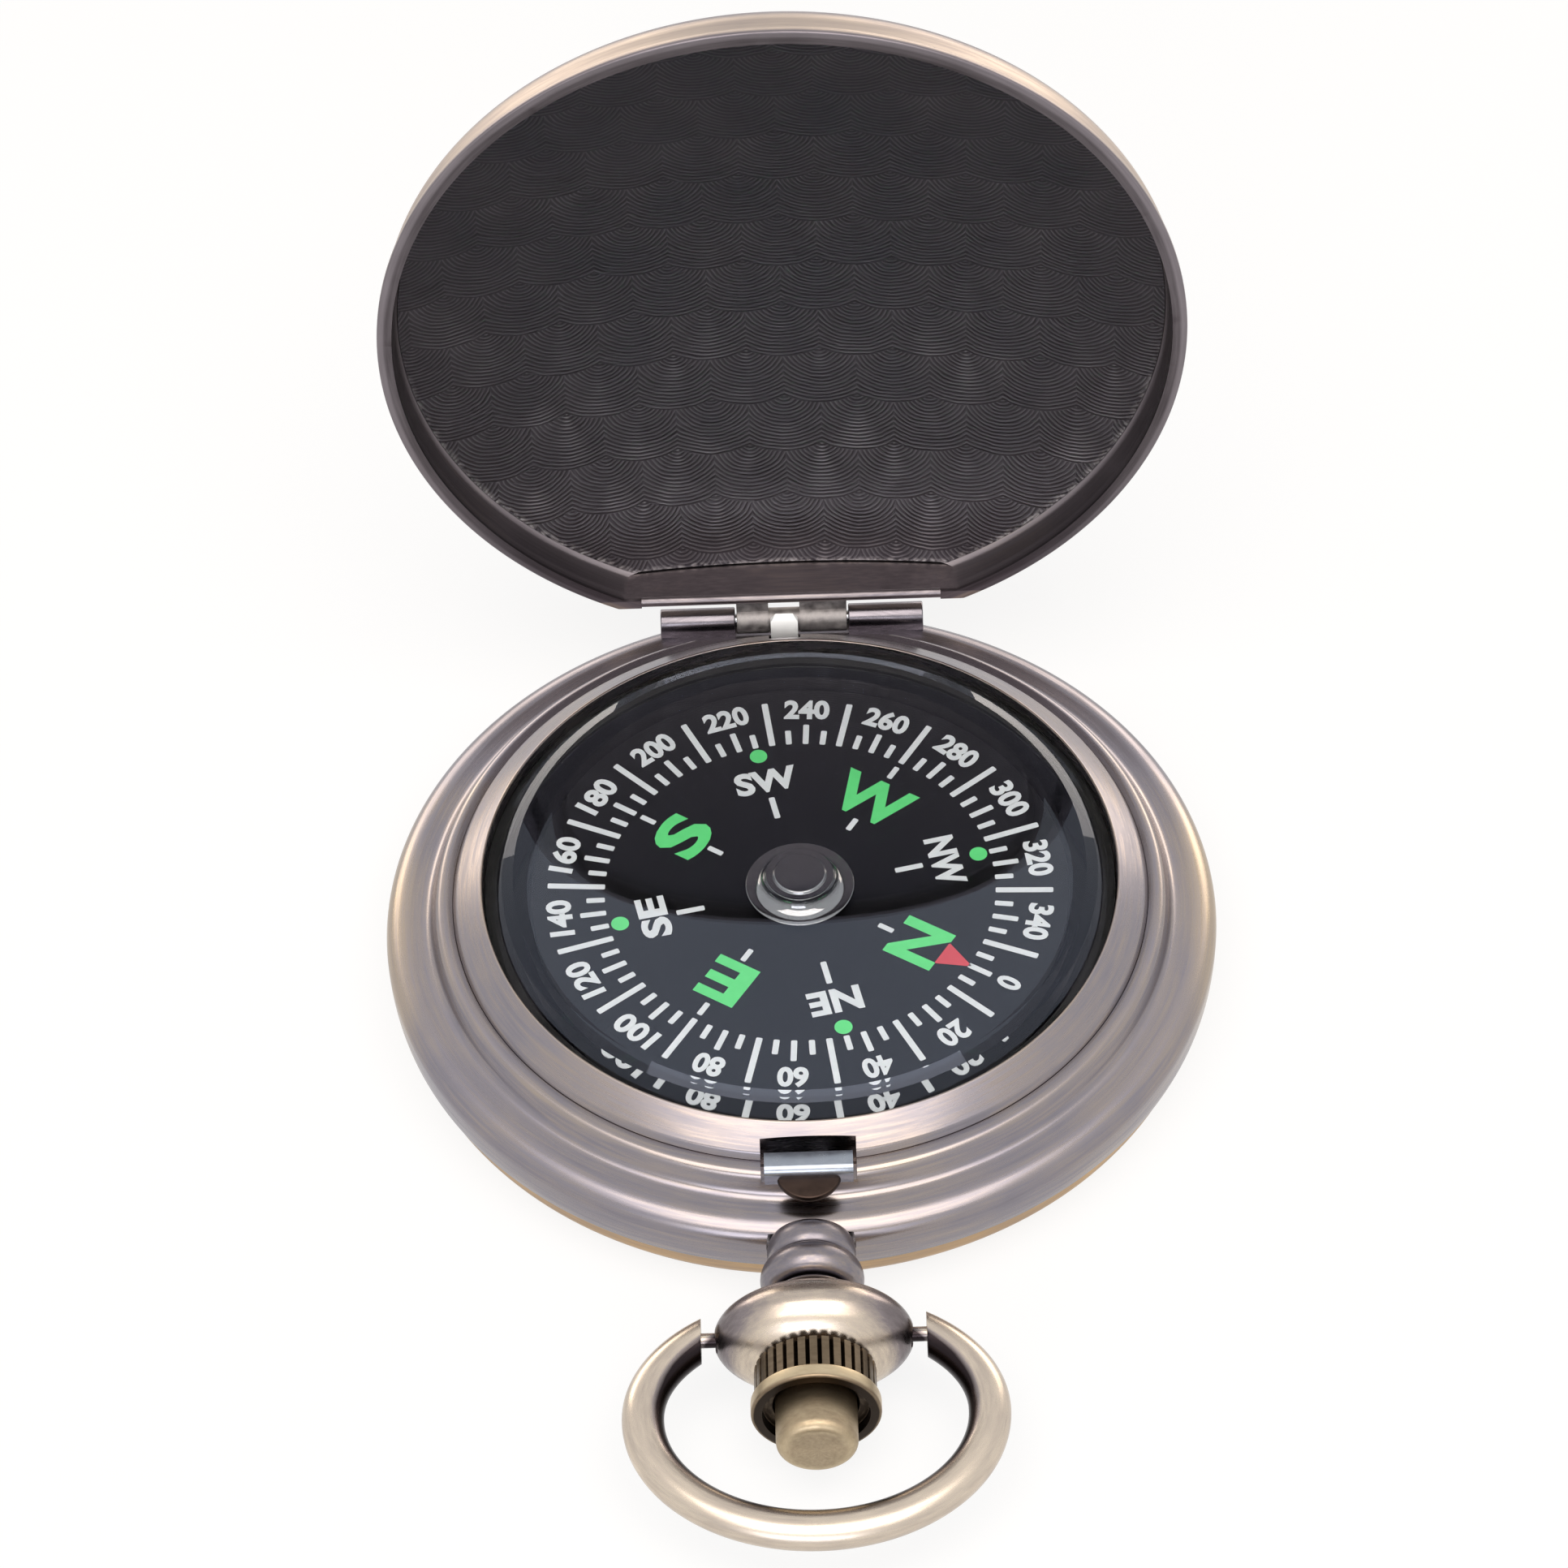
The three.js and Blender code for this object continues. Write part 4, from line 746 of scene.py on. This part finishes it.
def ink_text(name, text, width, height, weight, middle):
    """A word of that size, its top outwards, on the line to the north."""
    bpy.ops.object.select_all(action="DESELECT")
    bpy.ops.object.text_add()
    word = bpy.context.object
    word.name = name
    word.data.body = text
    word.data.offset = weight
    word.data.resolution_u = 4
    word.data.extrude = 0.01
    bpy.ops.object.convert(target="MESH")
    low, high = (Vector(word.bound_box[i]) for i in (0, 6))
    size = high - low
    word.location = -(low + high) / 2
    bpy.ops.object.transform_apply(location=True)
    word.scale = (width / size.x, height / size.y, INK / size.z)
    word.rotation_euler = (0, 0, -math.pi / 2)
    word.location = (middle, 0, (INK_Z[0] + INK_Z[1]) / 2)
    bpy.ops.object.transform_apply(location=True, rotation=True, scale=True)
    edit(word, merge_and_face_out)
    return word


def at_bearing(mark, degrees):
    """Turns a mark clockwise to its bearing."""
    choose(mark)
    mark.rotation_euler = (0, 0, math.radians(NORTH - degrees))
    bpy.ops.object.transform_apply(rotation=True)
    return mark


def copies(mark, bearings):
    """Copies of a mark, each with its own mesh, at several bearings."""
    made = []
    for degrees in bearings:
        choose(mark)
        bpy.ops.object.duplicate(linked=False)
        made.append(at_bearing(bpy.context.object, degrees))
    bpy.data.objects.remove(mark)
    return made


def joined(name, marks):
    bpy.ops.object.select_all(action="DESELECT")
    for mark in marks:
        mark.select_set(True)
    bpy.context.view_layer.objects.active = marks[0]
    bpy.ops.object.join()
    marks[0].name = name
    return marks[0]


# %% Ticks, numbers and letters
TICK = 10.95
white = copies(ink_dash("long_tick", 0.36, TICK, 14.15), range(10, 360, 20))
white += copies(ink_dash("middle_tick", 0.34, TICK, 12.4), range(0, 360, 20))
white += copies(ink_dash("short_tick", 0.34, TICK, 11.98), range(5, 360, 10))
white += copies(ink_dash("inner_dash", 0.32, 5.15, 6.1), range(0, 360, 90))
white += copies(ink_dash("outer_dash", 0.32, 9.65, 10.6), (90, 180, 270))
white += copies(ink_dash("half_dash", 0.34, 5.5, 7.1), range(45, 360, 90))
for degrees in range(0, 360, 20):
    digits = str(degrees)
    number = ink_text("number", digits, 0.9 * len(digits) - 0.08, 1.42, 0.04, 13.52)
    white.append(at_bearing(number, degrees))
for degrees, text, width in ((45, "NE", 3.0), (135, "SE", 2.95), (225, "SW", 3.6), (315, "NW", 3.6)):
    white.append(at_bearing(ink_text("half_wind", text, width, 1.7, 0.04, 8.4), degrees))
green = [at_bearing(ink_text("wind", text, width, 3.0, 0.035, 7.78), degrees)
         for degrees, text, width in ((0, "N", 2.95), (90, "E", 2.6), (180, "S", 2.83), (270, "W", 4.6))]
settle(joined("dial_print_white", white), "card", "card", white_ink)

# %% Green dots and the red pointer
dot = start("dot", bpy.ops.mesh.primitive_circle_add, vertices=24, radius=0.5, fill_type="NGON",
            location=(10.32, 0, INK_Z[0]))
edit(dot,
     lambda: bpy.ops.mesh.extrude_region_move(TRANSFORM_OT_translate={"value": (0, 0, INK)}),
     merge_and_face_out)
green += copies(dot, range(45, 360, 90))
settle(joined("dial_print_green", green), "card", "card", green_ink)

pointer = start("pointer", bpy.ops.mesh.primitive_circle_add, vertices=3, radius=1, fill_type="NGON",
                rotation=(0, 0, -math.pi / 2), scale=(0.97, 1.29, 1), location=(9.89, 0, INK_Z[0]))
edit(pointer,
     lambda: bpy.ops.mesh.bevel(affect="VERTICES", offset=0.1, segments=3),
     lambda: bpy.ops.mesh.extrude_region_move(TRANSFORM_OT_translate={"value": (0, 0, INK)}),
     merge_and_face_out)
settle(joined("dial_print_red", copies(pointer, (0,))), "card", "card", red_ink)

# %% [markdown]
# ## Lid
# The lid is a domed cover with a short rim and a flat side at the hinge. It is modelled closed, where
# its sizes are easy to read, and then swung open about the hinge pin. Its shell is a solid dome with
# a smaller dome taken out, and the lip along the flat side is a rolled bead. The middle knuckle is a
# piece of its own, because its metal is rougher.

# %% Sizes of the lid
LID_OPEN = math.radians(LID_TURN)
LIP_Z = 6.2
LIP_RADIUS = 22.77
LIP_INNER = 21.94
RIM_RADIUS = 22.5
RIM_INNER = 21.9
PLATE_RADIUS = 21.65
PLATE_Z = 8.46
CORNER = (20.5, 7.56)
CORNER_RADIUS = 2.0
LID_WALL = 0.5
LID_DOME = 2.9
CHORD_Y = 20.31
CHORD_INNER_Y = 19.65
LIP_X = (-8.8, 8.8)
LIP_BEAD = (19.98, 6.44)
LIP_BEAD_RADIUS = 0.32


def swing_open(piece):
    choose(piece)
    piece.location = (0, -HINGE_Y, -HINGE_Z)
    bpy.ops.object.transform_apply(location=True)
    piece.rotation_euler = (-LID_OPEN, 0, 0)
    piece.location = (0, HINGE_Y, HINGE_Z)
    bpy.ops.object.transform_apply(location=True, rotation=True)
    return piece


# %% Lid finish
lid_brass = antique_brass("brushed_antique_brass_lid", "Y", LID_AXIS, LID_TURN, marks=[
    ("height", 0.0, -0.2, -0.3),
    ("radius", 22.3, 22.5, 0.25),
    # painted highlight: a lighter strip on the rolled lip along the flat side
    ("depth", 19.67, 19.75, 0.35),
], colours=(PATINA, "#827b7f", "#bfb0a0"))

# %% Lid shell
corner = arc(CORNER, (CORNER_RADIUS, CORNER_RADIUS), 0, 74.6, 16)
hollow = arc(CORNER, (CORNER_RADIUS - LID_WALL, CORNER_RADIUS - LID_WALL), 22, 74.6, 10)
lid = turned("lid_shell_dome", rounded([
    (0, LIP_Z),
    (LIP_RADIUS, LIP_Z, 0.12),
    (LIP_RADIUS, LIP_Z + 0.42, 0.16),
    (RIM_RADIUS, LIP_Z + 0.66, 0.14),
    *corner,
    *dome(corner[-1][0], corner[-1][1], LID_DOME, 28)[1:],
]), steps=240)
trim(lid, (0, CHORD_Y, 0), (0, 1, 0))
cavity = turned("cavity", rounded([
    (0, 0),
    (LIP_INNER, 0),
    (LIP_INNER, LIP_Z + 0.4),
    (RIM_INNER, LIP_Z + 0.65),
    *hollow,
    *dome(hollow[-1][0], hollow[-1][1], LID_DOME, 28)[1:],
]), steps=240)
trim(cavity, (0, CHORD_INNER_Y, 0), (0, 1, 0))
combine(lid, "DIFFERENCE", cavity)
soften(lid, 0.28)
lip_y = (CHORD_INNER_Y - 0.2, CHORD_Y + 0.2)
combine(lid, "DIFFERENCE", block("lip_flat", LIP_X, lip_y, (5.9, LIP_BEAD[1])))
combine(lid, "UNION", bar("lip_bead", LIP_BEAD_RADIUS, LIP_X, *LIP_BEAD))
combine(lid, "DIFFERENCE", block("latch_pocket", POCKET_X, (-22.25, BOLT_Y), (6.65, 7.55)))
settle(swing_open(lid), "lid", "case_brass", lid_brass, "lid_shell")

# %% Knuckle of the lid
DRUM_RADIUS = 0.7
DRUM_X = (SLOT_X[0] - 0.1, SLOT_X[1] + 0.1)
WEB_Z = (HINGE_Z - 0.1, HINGE_Z + 0.7)
knuckle = soften(bar("lid_knuckle_centre", KNUCKLE_RADIUS, LID_KNUCKLE_X, HINGE_Y, HINGE_Z), 0.06)
combine(knuckle, "UNION", block("web", LID_KNUCKLE_X, (CHORD_Y - 0.05, HINGE_Y), WEB_Z))
combine(knuckle, "DIFFERENCE", block("tip_slot", SLOT_X, (CHORD_Y + 0.05, 24), (4.95, 8.05)))
combine(knuckle, "UNION", bar("drum", DRUM_RADIUS, DRUM_X, HINGE_Y, HINGE_Z))
combine(knuckle, "DIFFERENCE", bar("pin_hole", PIN_BORE, PIN_BORE_X, HINGE_Y, HINGE_Z))
settle(swing_open(knuckle), "lid", "case_brass", knuckle_brass)

# %% Plate inside the lid
plate = turned("lid_plate_engine_turned", rounded([
    *reversed(dome(PLATE_RADIUS, PLATE_Z, LID_DOME, 28)),
    *dome(PLATE_RADIUS - 0.5, PLATE_Z + 0.36, LID_DOME, 28),
]), steps=240)
trim(plate, (0, CHORD_INNER_Y - 0.1, 0), (0, 1, 0))
settle(swing_open(plate), "lid", "lid_plate", plate_black, "lid_inner_plate")

# %% [markdown]
# ## Lift spring and latch
# A flat spring runs under the flange, and its bent tip pushes on the lid from the slot in the knuckle.
# The latch is a steel tongue with a round front. A browned half-round nose at its foot reaches into
# the pocket of the lid.

# %% Lift spring
SPRING_Z = (3.6, 4.9)
FOOT_Z = (4.7, 4.95)
STRIP_R = (19.4, 19.75)
FOOT_R = (19.1, 21.0)
STRIP_ANGLES = (1.6331, 2.2813)
FOOT_ANGLES = (2.2165, 2.4609)
TIP_REACH = 1.46
TIP_BEVEL = (0.3, 7.75)
TIP_BEVEL_SLOPE = (0.75, 0.66)
SCREW_ANGLE = 2.3387
SCREW_R = 20.05


def strip(name, radii, angles, heights):
    """A flat strip bent round the case: a section that is spun through an angle."""
    piece = turned(name, ring(radii, heights), steps=48, angle=angles[1] - angles[0])
    edit(piece, close_ends, merge_and_face_out)
    piece.rotation_euler = (0, 0, angles[0])
    bpy.ops.object.transform_apply(rotation=True)
    return piece


def close_ends():
    bpy.ops.mesh.select_all(action="DESELECT")
    bpy.ops.mesh.select_non_manifold()
    bpy.ops.mesh.fill()


lift = strip("lift_spring_steel", STRIP_R, STRIP_ANGLES, SPRING_Z)
tip = bar("tip", TIP_REACH, TIP_X, HINGE_Y, HINGE_Z)
trim(tip, (0, TIP_Y[1], 0), (0, 1, 0))
trim(tip, (0, 0, HINGE_Z - 0.3), (0, 0, -1))
for sign, x in ((-1, TIP_X[0]), (1, TIP_X[1])):
    trim(tip, (x - sign * TIP_BEVEL[0], 0, TIP_BEVEL[1]),
         (sign * TIP_BEVEL_SLOPE[0], 0, TIP_BEVEL_SLOPE[1]))
combine(
    lift, "UNION",
    block("arm", TIP_X, (STRIP_R[0], TIP_Y[1]), (SPRING_Z[0], FOOT_Z[0])),
    block("stalk", TIP_X, (TIP_Y[0] - 0.2, TIP_Y[1]), (SPRING_Z[0], HINGE_Z)),
    tip,
    strip("foot", FOOT_R, FOOT_ANGLES, FOOT_Z),
)
foot_hole = turned("foot_hole", [(0, 3), (0.55, 3), (0.55, 6), (0, 6)], "Z",
                   (SCREW_R * math.cos(SCREW_ANGLE), SCREW_R * math.sin(SCREW_ANGLE), 0), 48)
combine(lift, "DIFFERENCE", foot_hole)
soften(lift, 0.05)
settle(lift, "case", "steel", nickel, "lid_spring")

# %% Latch
TONGUE_X = (-2.4, 2.4)
TONGUE_Y = (-20.2, -19.43)
TONGUE_Z = (NOTCH_Z + 0.05, 8.1)
FRONT_RADIUS = 0.5
FRONT_Y = (TONGUE_Y[0] - FRONT_RADIUS, TONGUE_Y[0])
FRONT_Z = TONGUE_Z[1] - FRONT_RADIUS
NOSE_Z = (6.97, 7.37)
NOSE_ROOT_Y = -20.6
tongue = block("latch_tongue_steel", TONGUE_X, TONGUE_Y, TONGUE_Z)
combine(
    tongue, "UNION",
    bar("front", FRONT_RADIUS, TONGUE_X, TONGUE_Y[0], FRONT_Z, 96),
    block("front_foot", TONGUE_X, FRONT_Y, (TONGUE_Z[0], FRONT_Z)),
    block("plate", (-2.2, 2.2), (BOLT_Y, BOLT_Y + 0.4), (3.9, NOTCH_Z + 0.2)),
)
soften(tongue, 0.06)
settle(tongue, "latch", "steel", latch_steel, "latch_bolt")
nose = start("latch_nose_steel", bpy.ops.mesh.primitive_cylinder_add, vertices=96, radius=1,
             depth=NOSE_Z[1] - NOSE_Z[0], location=(0, BOLT_Y, sum(NOSE_Z) / 2), scale=(1.8, 1.9, 1))
trim(nose, (0, NOSE_ROOT_Y, 0), (0, 1, 0))
soften(nose, 0.12)
settle(nose, "latch", "steel", browned_steel)

# %% [markdown]
# ## Pendant, crown, button and bow
# The pendant is turned along its own axis, which points away from the case: a beaded neck, a ball that
# is flattened sideways, a fluted crown and a push button. The bow is bent from oval wire, and its two
# end pins turn in the ball.

# %% Neck
def bead(end, radius, length):
    return arc((2.0, end - length / 2), (radius - 2.0, length / 2), 90, -90, 12)


beads = bead(-23.1, 2.4, 1.6) + bead(-24.7, 2.8, 2.0)[1:]
neck = turned("pendant_neck_beads", rounded([
    (1.2, -27.2),
    (2.5, -27.2, 0.2),
    *reversed(beads),
    (STEM_BORE, -23.1),
    (STEM_BORE, -25.5),
    (1.2, -25.5),
    (1.2, -27.2),
]), "Y", PENDANT, 96)
settle(neck, "case", "case_brass", neck_brass, "pendant_neck", angle=40)

# %% Bulb
BULB_Y = (-31.65, -27.25)
BOW_PIVOT_Y = -29.45
BOW_PIN_BORE = 0.7
bulb = start("pendant_bulb_ball", bpy.ops.mesh.primitive_uv_sphere_add, segments=128, ring_count=64,
             radius=1, scale=(5.35, 2.55, 4.0), location=(0, BOW_PIVOT_Y, EQUATOR_Z))
trim(bulb, (0, BULB_Y[0], 0), (0, -1, 0))
trim(bulb, (0, BULB_Y[1], 0), (0, 1, 0))
soften(bulb, 0.12)
combine(
    bulb, "DIFFERENCE",
    bar("left_pin_hole", BOW_PIN_BORE, (-9, -4.25), BOW_PIVOT_Y, EQUATOR_Z),
    bar("right_pin_hole", BOW_PIN_BORE, (4.25, 9), BOW_PIVOT_Y, EQUATOR_Z),
    pendant_bore("spring_bore", SPRING_BORE, -27.95),
    pendant_bore("stem_bore", STEM_BORE, -20),
)
settle(bulb, "case", "case_brass", bulb_brass, "pendant_bulb")

# %% Crown
FLUTES = 32
FLUTE_POINTS = 8
FLUTE_SINK = {3: 0.22, 4: 0.3, 5: 0.22}
CROWN_RADIUS = 3.46
CROWN_Y = (-34.45, -31.7)
BAND_Y = -33.65
crown = start("crown_fluted", bpy.ops.mesh.primitive_circle_add, vertices=FLUTES * FLUTE_POINTS,
              radius=CROWN_RADIUS, fill_type="NGON", rotation=(math.pi / 2, 0, 0),
              location=(0, CROWN_Y[1], EQUATOR_Z))
for point, sink in FLUTE_SINK.items():
    for vertex in crown.data.vertices:
        vertex.select = vertex.index % FLUTE_POINTS == point
    choose(crown)
    bpy.ops.object.mode_set(mode="EDIT")
    small = (CROWN_RADIUS - sink) / CROWN_RADIUS
    bpy.ops.transform.resize(value=(small, 1, small), center_override=(0, CROWN_Y[1], EQUATOR_Z))
    bpy.ops.mesh.select_all(action="DESELECT")
    bpy.ops.object.mode_set(mode="OBJECT")
edit(crown,
     lambda: bpy.ops.mesh.extrude_region_move(
         TRANSFORM_OT_translate={"value": (0, BAND_Y - CROWN_Y[1] - 0.05, 0)}),
     merge_and_face_out)
band = turned("crown_band", rounded([
    (0, CROWN_Y[0]), (CROWN_RADIUS, CROWN_Y[0], 0.15), (CROWN_RADIUS, BAND_Y, 0.08), (0, BAND_Y)]),
    "Y", PENDANT, FLUTES * FLUTE_POINTS)
combine(crown, "UNION", band)
combine(crown, "DIFFERENCE", turned("crown_bore", rounded([
    (0, BEYOND_Y),
    (2.86, BEYOND_Y),
    (2.86, -33.85, 0.1),
    (2.27, -33.85),
    (2.27, -32.25),
    (SPRING_BORE, -32.25),
    (SPRING_BORE, -30),
    (0, -30),
]), "Y", PENDANT, 96))
settle(crown, "case", "crown_brass", crown_brass, "crown_sleeve", angle=28)

# %% Button
button = turned("push_button_round", rounded([
    (0, -36.75),
    *arc((1.57, -36.15), (0.6, 0.6), -90, 0, 12),
    (2.17, -33.15, 0.1),
    (0.5, -33.15),
    (0.5, -34.5),
    (0, -34.5),
]), "Y", PENDANT, 96)
settle(button, "button", "crown_brass", button_brass, "push_button")

# %% Bow
BOW_WIDE = 9.12
BOW_WIDE_Y = -34.45
BOW_RISE = 6.64
BOW_DROP = 7.3
BOW_END = 6.0
BOW_WIRE = (1.12, 0.95)


def wire_circle(name):
    bpy.ops.object.select_all(action="DESELECT")
    bpy.ops.curve.primitive_bezier_circle_add(radius=1)
    bpy.context.object.name = name
    return bpy.context.object


def stretch(curve, wide, up, down):
    points = curve.data.splines[0].bezier_points
    for point in points:
        point.handle_left_type = point.handle_right_type = "FREE"
    for point in points:
        for spot in (point.co, point.handle_left, point.handle_right):
            spot.x *= wide
            spot.y *= up if spot.y > 0 else down


section = wire_circle("wire_section")
stretch(section, BOW_WIRE[0], BOW_WIRE[1], BOW_WIRE[1])
section.data.resolution_u = 10
bow = wire_circle("bow_oval_wire")
stretch(bow, BOW_WIDE, BOW_RISE, BOW_DROP)
bow.data.resolution_u = 40
bow.data.bevel_mode = "OBJECT"
bow.data.bevel_object = section
choose(bow)
bpy.ops.object.convert(target="MESH")
bow = bpy.context.object
bpy.data.objects.remove(section)
bow.location = (0, BOW_WIDE_Y, EQUATOR_Z)
bpy.ops.object.transform_apply(location=True)
edit(bow, merge_and_face_out)
combine(bow, "DIFFERENCE", block("gap", (-BOW_END, BOW_END), (BOW_WIDE_Y, 0), (0, 10)))
soften(bow, 0.1)
combine(
    bow, "UNION",
    bar("left_pin", PIN_RADIUS, (-7.1, -4.55), BOW_PIVOT_Y, EQUATOR_Z),
    bar("right_pin", PIN_RADIUS, (4.55, 7.1), BOW_PIVOT_Y, EQUATOR_Z),
)
settle(bow, "bow", "case_brass", bow_brass, "bow_ring", angle=40)

# %% [markdown]
# ## Pieces that stay as solids
# What is hidden inside the case keeps its solid and only gets a finish.

# %% Hidden pieces
HIDDEN = {
    "capsule_holder": black_plastic,
    "pivot_post": steel,
    "card_magnet": magnet_iron,
    "jewel_cup": ruby,
    "lid_spring_screw": steel,
    "latch_spring_screw": steel,
    "push_stem": steel,
    "stem_retainer": steel,
}
for name, material in HIDDEN.items():
    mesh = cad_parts[name].data
    mesh.materials.clear()
    mesh.materials.append(material)
print("hidden pieces with a finish:", len(HIDDEN))

# %% [markdown]
# The coil under the button and the strip behind the latch are fixed at one end and pushed at the
# other. Each solid is copied as a steel piece in its place, and the solid itself is hidden.

# %% Copies of the springs
SPRINGS = {
    "button_spring": ("button", "button_coil_steel"),
    "latch_spring": ("latch", "latch_strip_steel"),
}
for node, (pusher, name) in SPRINGS.items():
    spring = bpy.data.objects.new(name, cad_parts[node].data.copy())
    bpy.context.scene.collection.objects.link(spring)
    spring.data.materials.clear()
    spring.data.materials.append(steel)
    edit(spring, lambda: bpy.ops.mesh.remove_doubles(threshold=0.0005 * MM))
    bpy.ops.object.shade_smooth_by_angle(angle=math.radians(32))
    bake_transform(spring)
    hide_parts(node)

# %% [markdown]
# ## Studio
# A pale floor and a white surround, a large soft lamp above, a cool one in front, which greys the near
# half of the crystal, and two warm ones behind, which draw the light edges along the sides of the
# case. Camera, glossy and transmission rays see the surround as white, so the metal and the crystal
# reflect it.

# %% Floor and surround
FLOOR_Z = -0.00005
FLOOR_GLOW = 0.84
SKY_FILL = 0.12


def seen(tree):
    """1 for the rays that see the surround as white, and 0 for the others."""
    path = tree.nodes.new("ShaderNodeLightPath")
    share = path.outputs["Is Camera Ray"]
    for kind in ("Is Glossy Ray", "Is Transmission Ray"):
        share = add(tree, "ShaderNodeMath", {0: share, 1: path.outputs[kind]}, operation="MAXIMUM")
    return share


floor = start("studio_floor", bpy.ops.mesh.primitive_plane_add, size=4, location=(0, 0, FLOOR_Z))
paper, tree, shader, _ = finish("white_paper")
glow = add(tree, "ShaderNodeMath", {0: seen(tree), 1: FLOOR_GLOW}, operation="MULTIPLY")
feed(tree, shader, {"Base Color": linear("#7c7c7c"), "Roughness": 0.9, "Specular IOR Level": 0.0,
                    "Emission Color": (1, 1, 1, 1), "Emission Strength": glow})
floor.data.materials.append(paper)

world = bpy.data.worlds.new("studio")
bpy.context.scene.world = world
world.use_nodes = True
tree = world.node_tree
tree.nodes.clear()
level = add(tree, "ShaderNodeMapRange", {"Value": seen(tree), "To Min": SKY_FILL, "To Max": 1.0})
sky = add(tree, "ShaderNodeBackground", {"Color": (1, 1, 1, 1), "Strength": level})
add(tree, "ShaderNodeOutputWorld", {"Surface": sky})

# %% Lamps
def soft_lamp(name, place, aim, size, radiance, tint):
    lamp = bpy.data.lights.new(name, "AREA")
    lamp.shape = "RECTANGLE"
    lamp.size, lamp.size_y = size
    lamp.energy = radiance * math.pi * size[0] * size[1]
    lamp.color = linear(tint)[:3]
    holder = bpy.data.objects.new(name, lamp)
    holder.location = place
    holder.rotation_euler = (Vector(aim) - Vector(place)).to_track_quat("-Z", "Y").to_euler()
    bpy.context.scene.collection.objects.link(holder)


MIDDLE = (0, 0, 0.01)
soft_lamp("overhead", (0, -0.17, 0.45), MIDDLE, (0.5, 0.36), 3.2, "#fff7ee")
soft_lamp("front", (-0.06, -0.55, 0.24), MIDDLE, (0.36, 0.2), 3.7, "#f7f8ff")
soft_lamp("left_rear", (-0.3, 0.55, 0.14), MIDDLE, (0.45, 0.25), 3.0, "#fff0dc")
soft_lamp("right_rear", (0.3, 0.55, 0.14), MIDDLE, (0.45, 0.25), 3.4, "#fff0dc")

# %% Camera
CAMERA_PLACE = Vector((0.5575, -202.948, 241.562)) * MM
CAMERA_AIM = Vector((-0.729, 7.006, 8.4)) * MM
CAMERA_ROLL = math.radians(-2.125)
lens = bpy.data.cameras.new("photo_camera")
lens.sensor_width = 36
lens.lens = 126.18
camera = bpy.data.objects.new("photo_camera", lens)
bpy.context.scene.collection.objects.link(camera)
camera.location = CAMERA_PLACE
facing = (CAMERA_AIM - CAMERA_PLACE).to_track_quat("-Z", "Y").to_matrix().to_4x4()
camera.rotation_euler = facing.to_euler()
camera.rotation_euler.rotate_axis("Z", CAMERA_ROLL)
bpy.context.scene.camera = camera
bpy.context.scene.view_settings.view_transform = "Standard"
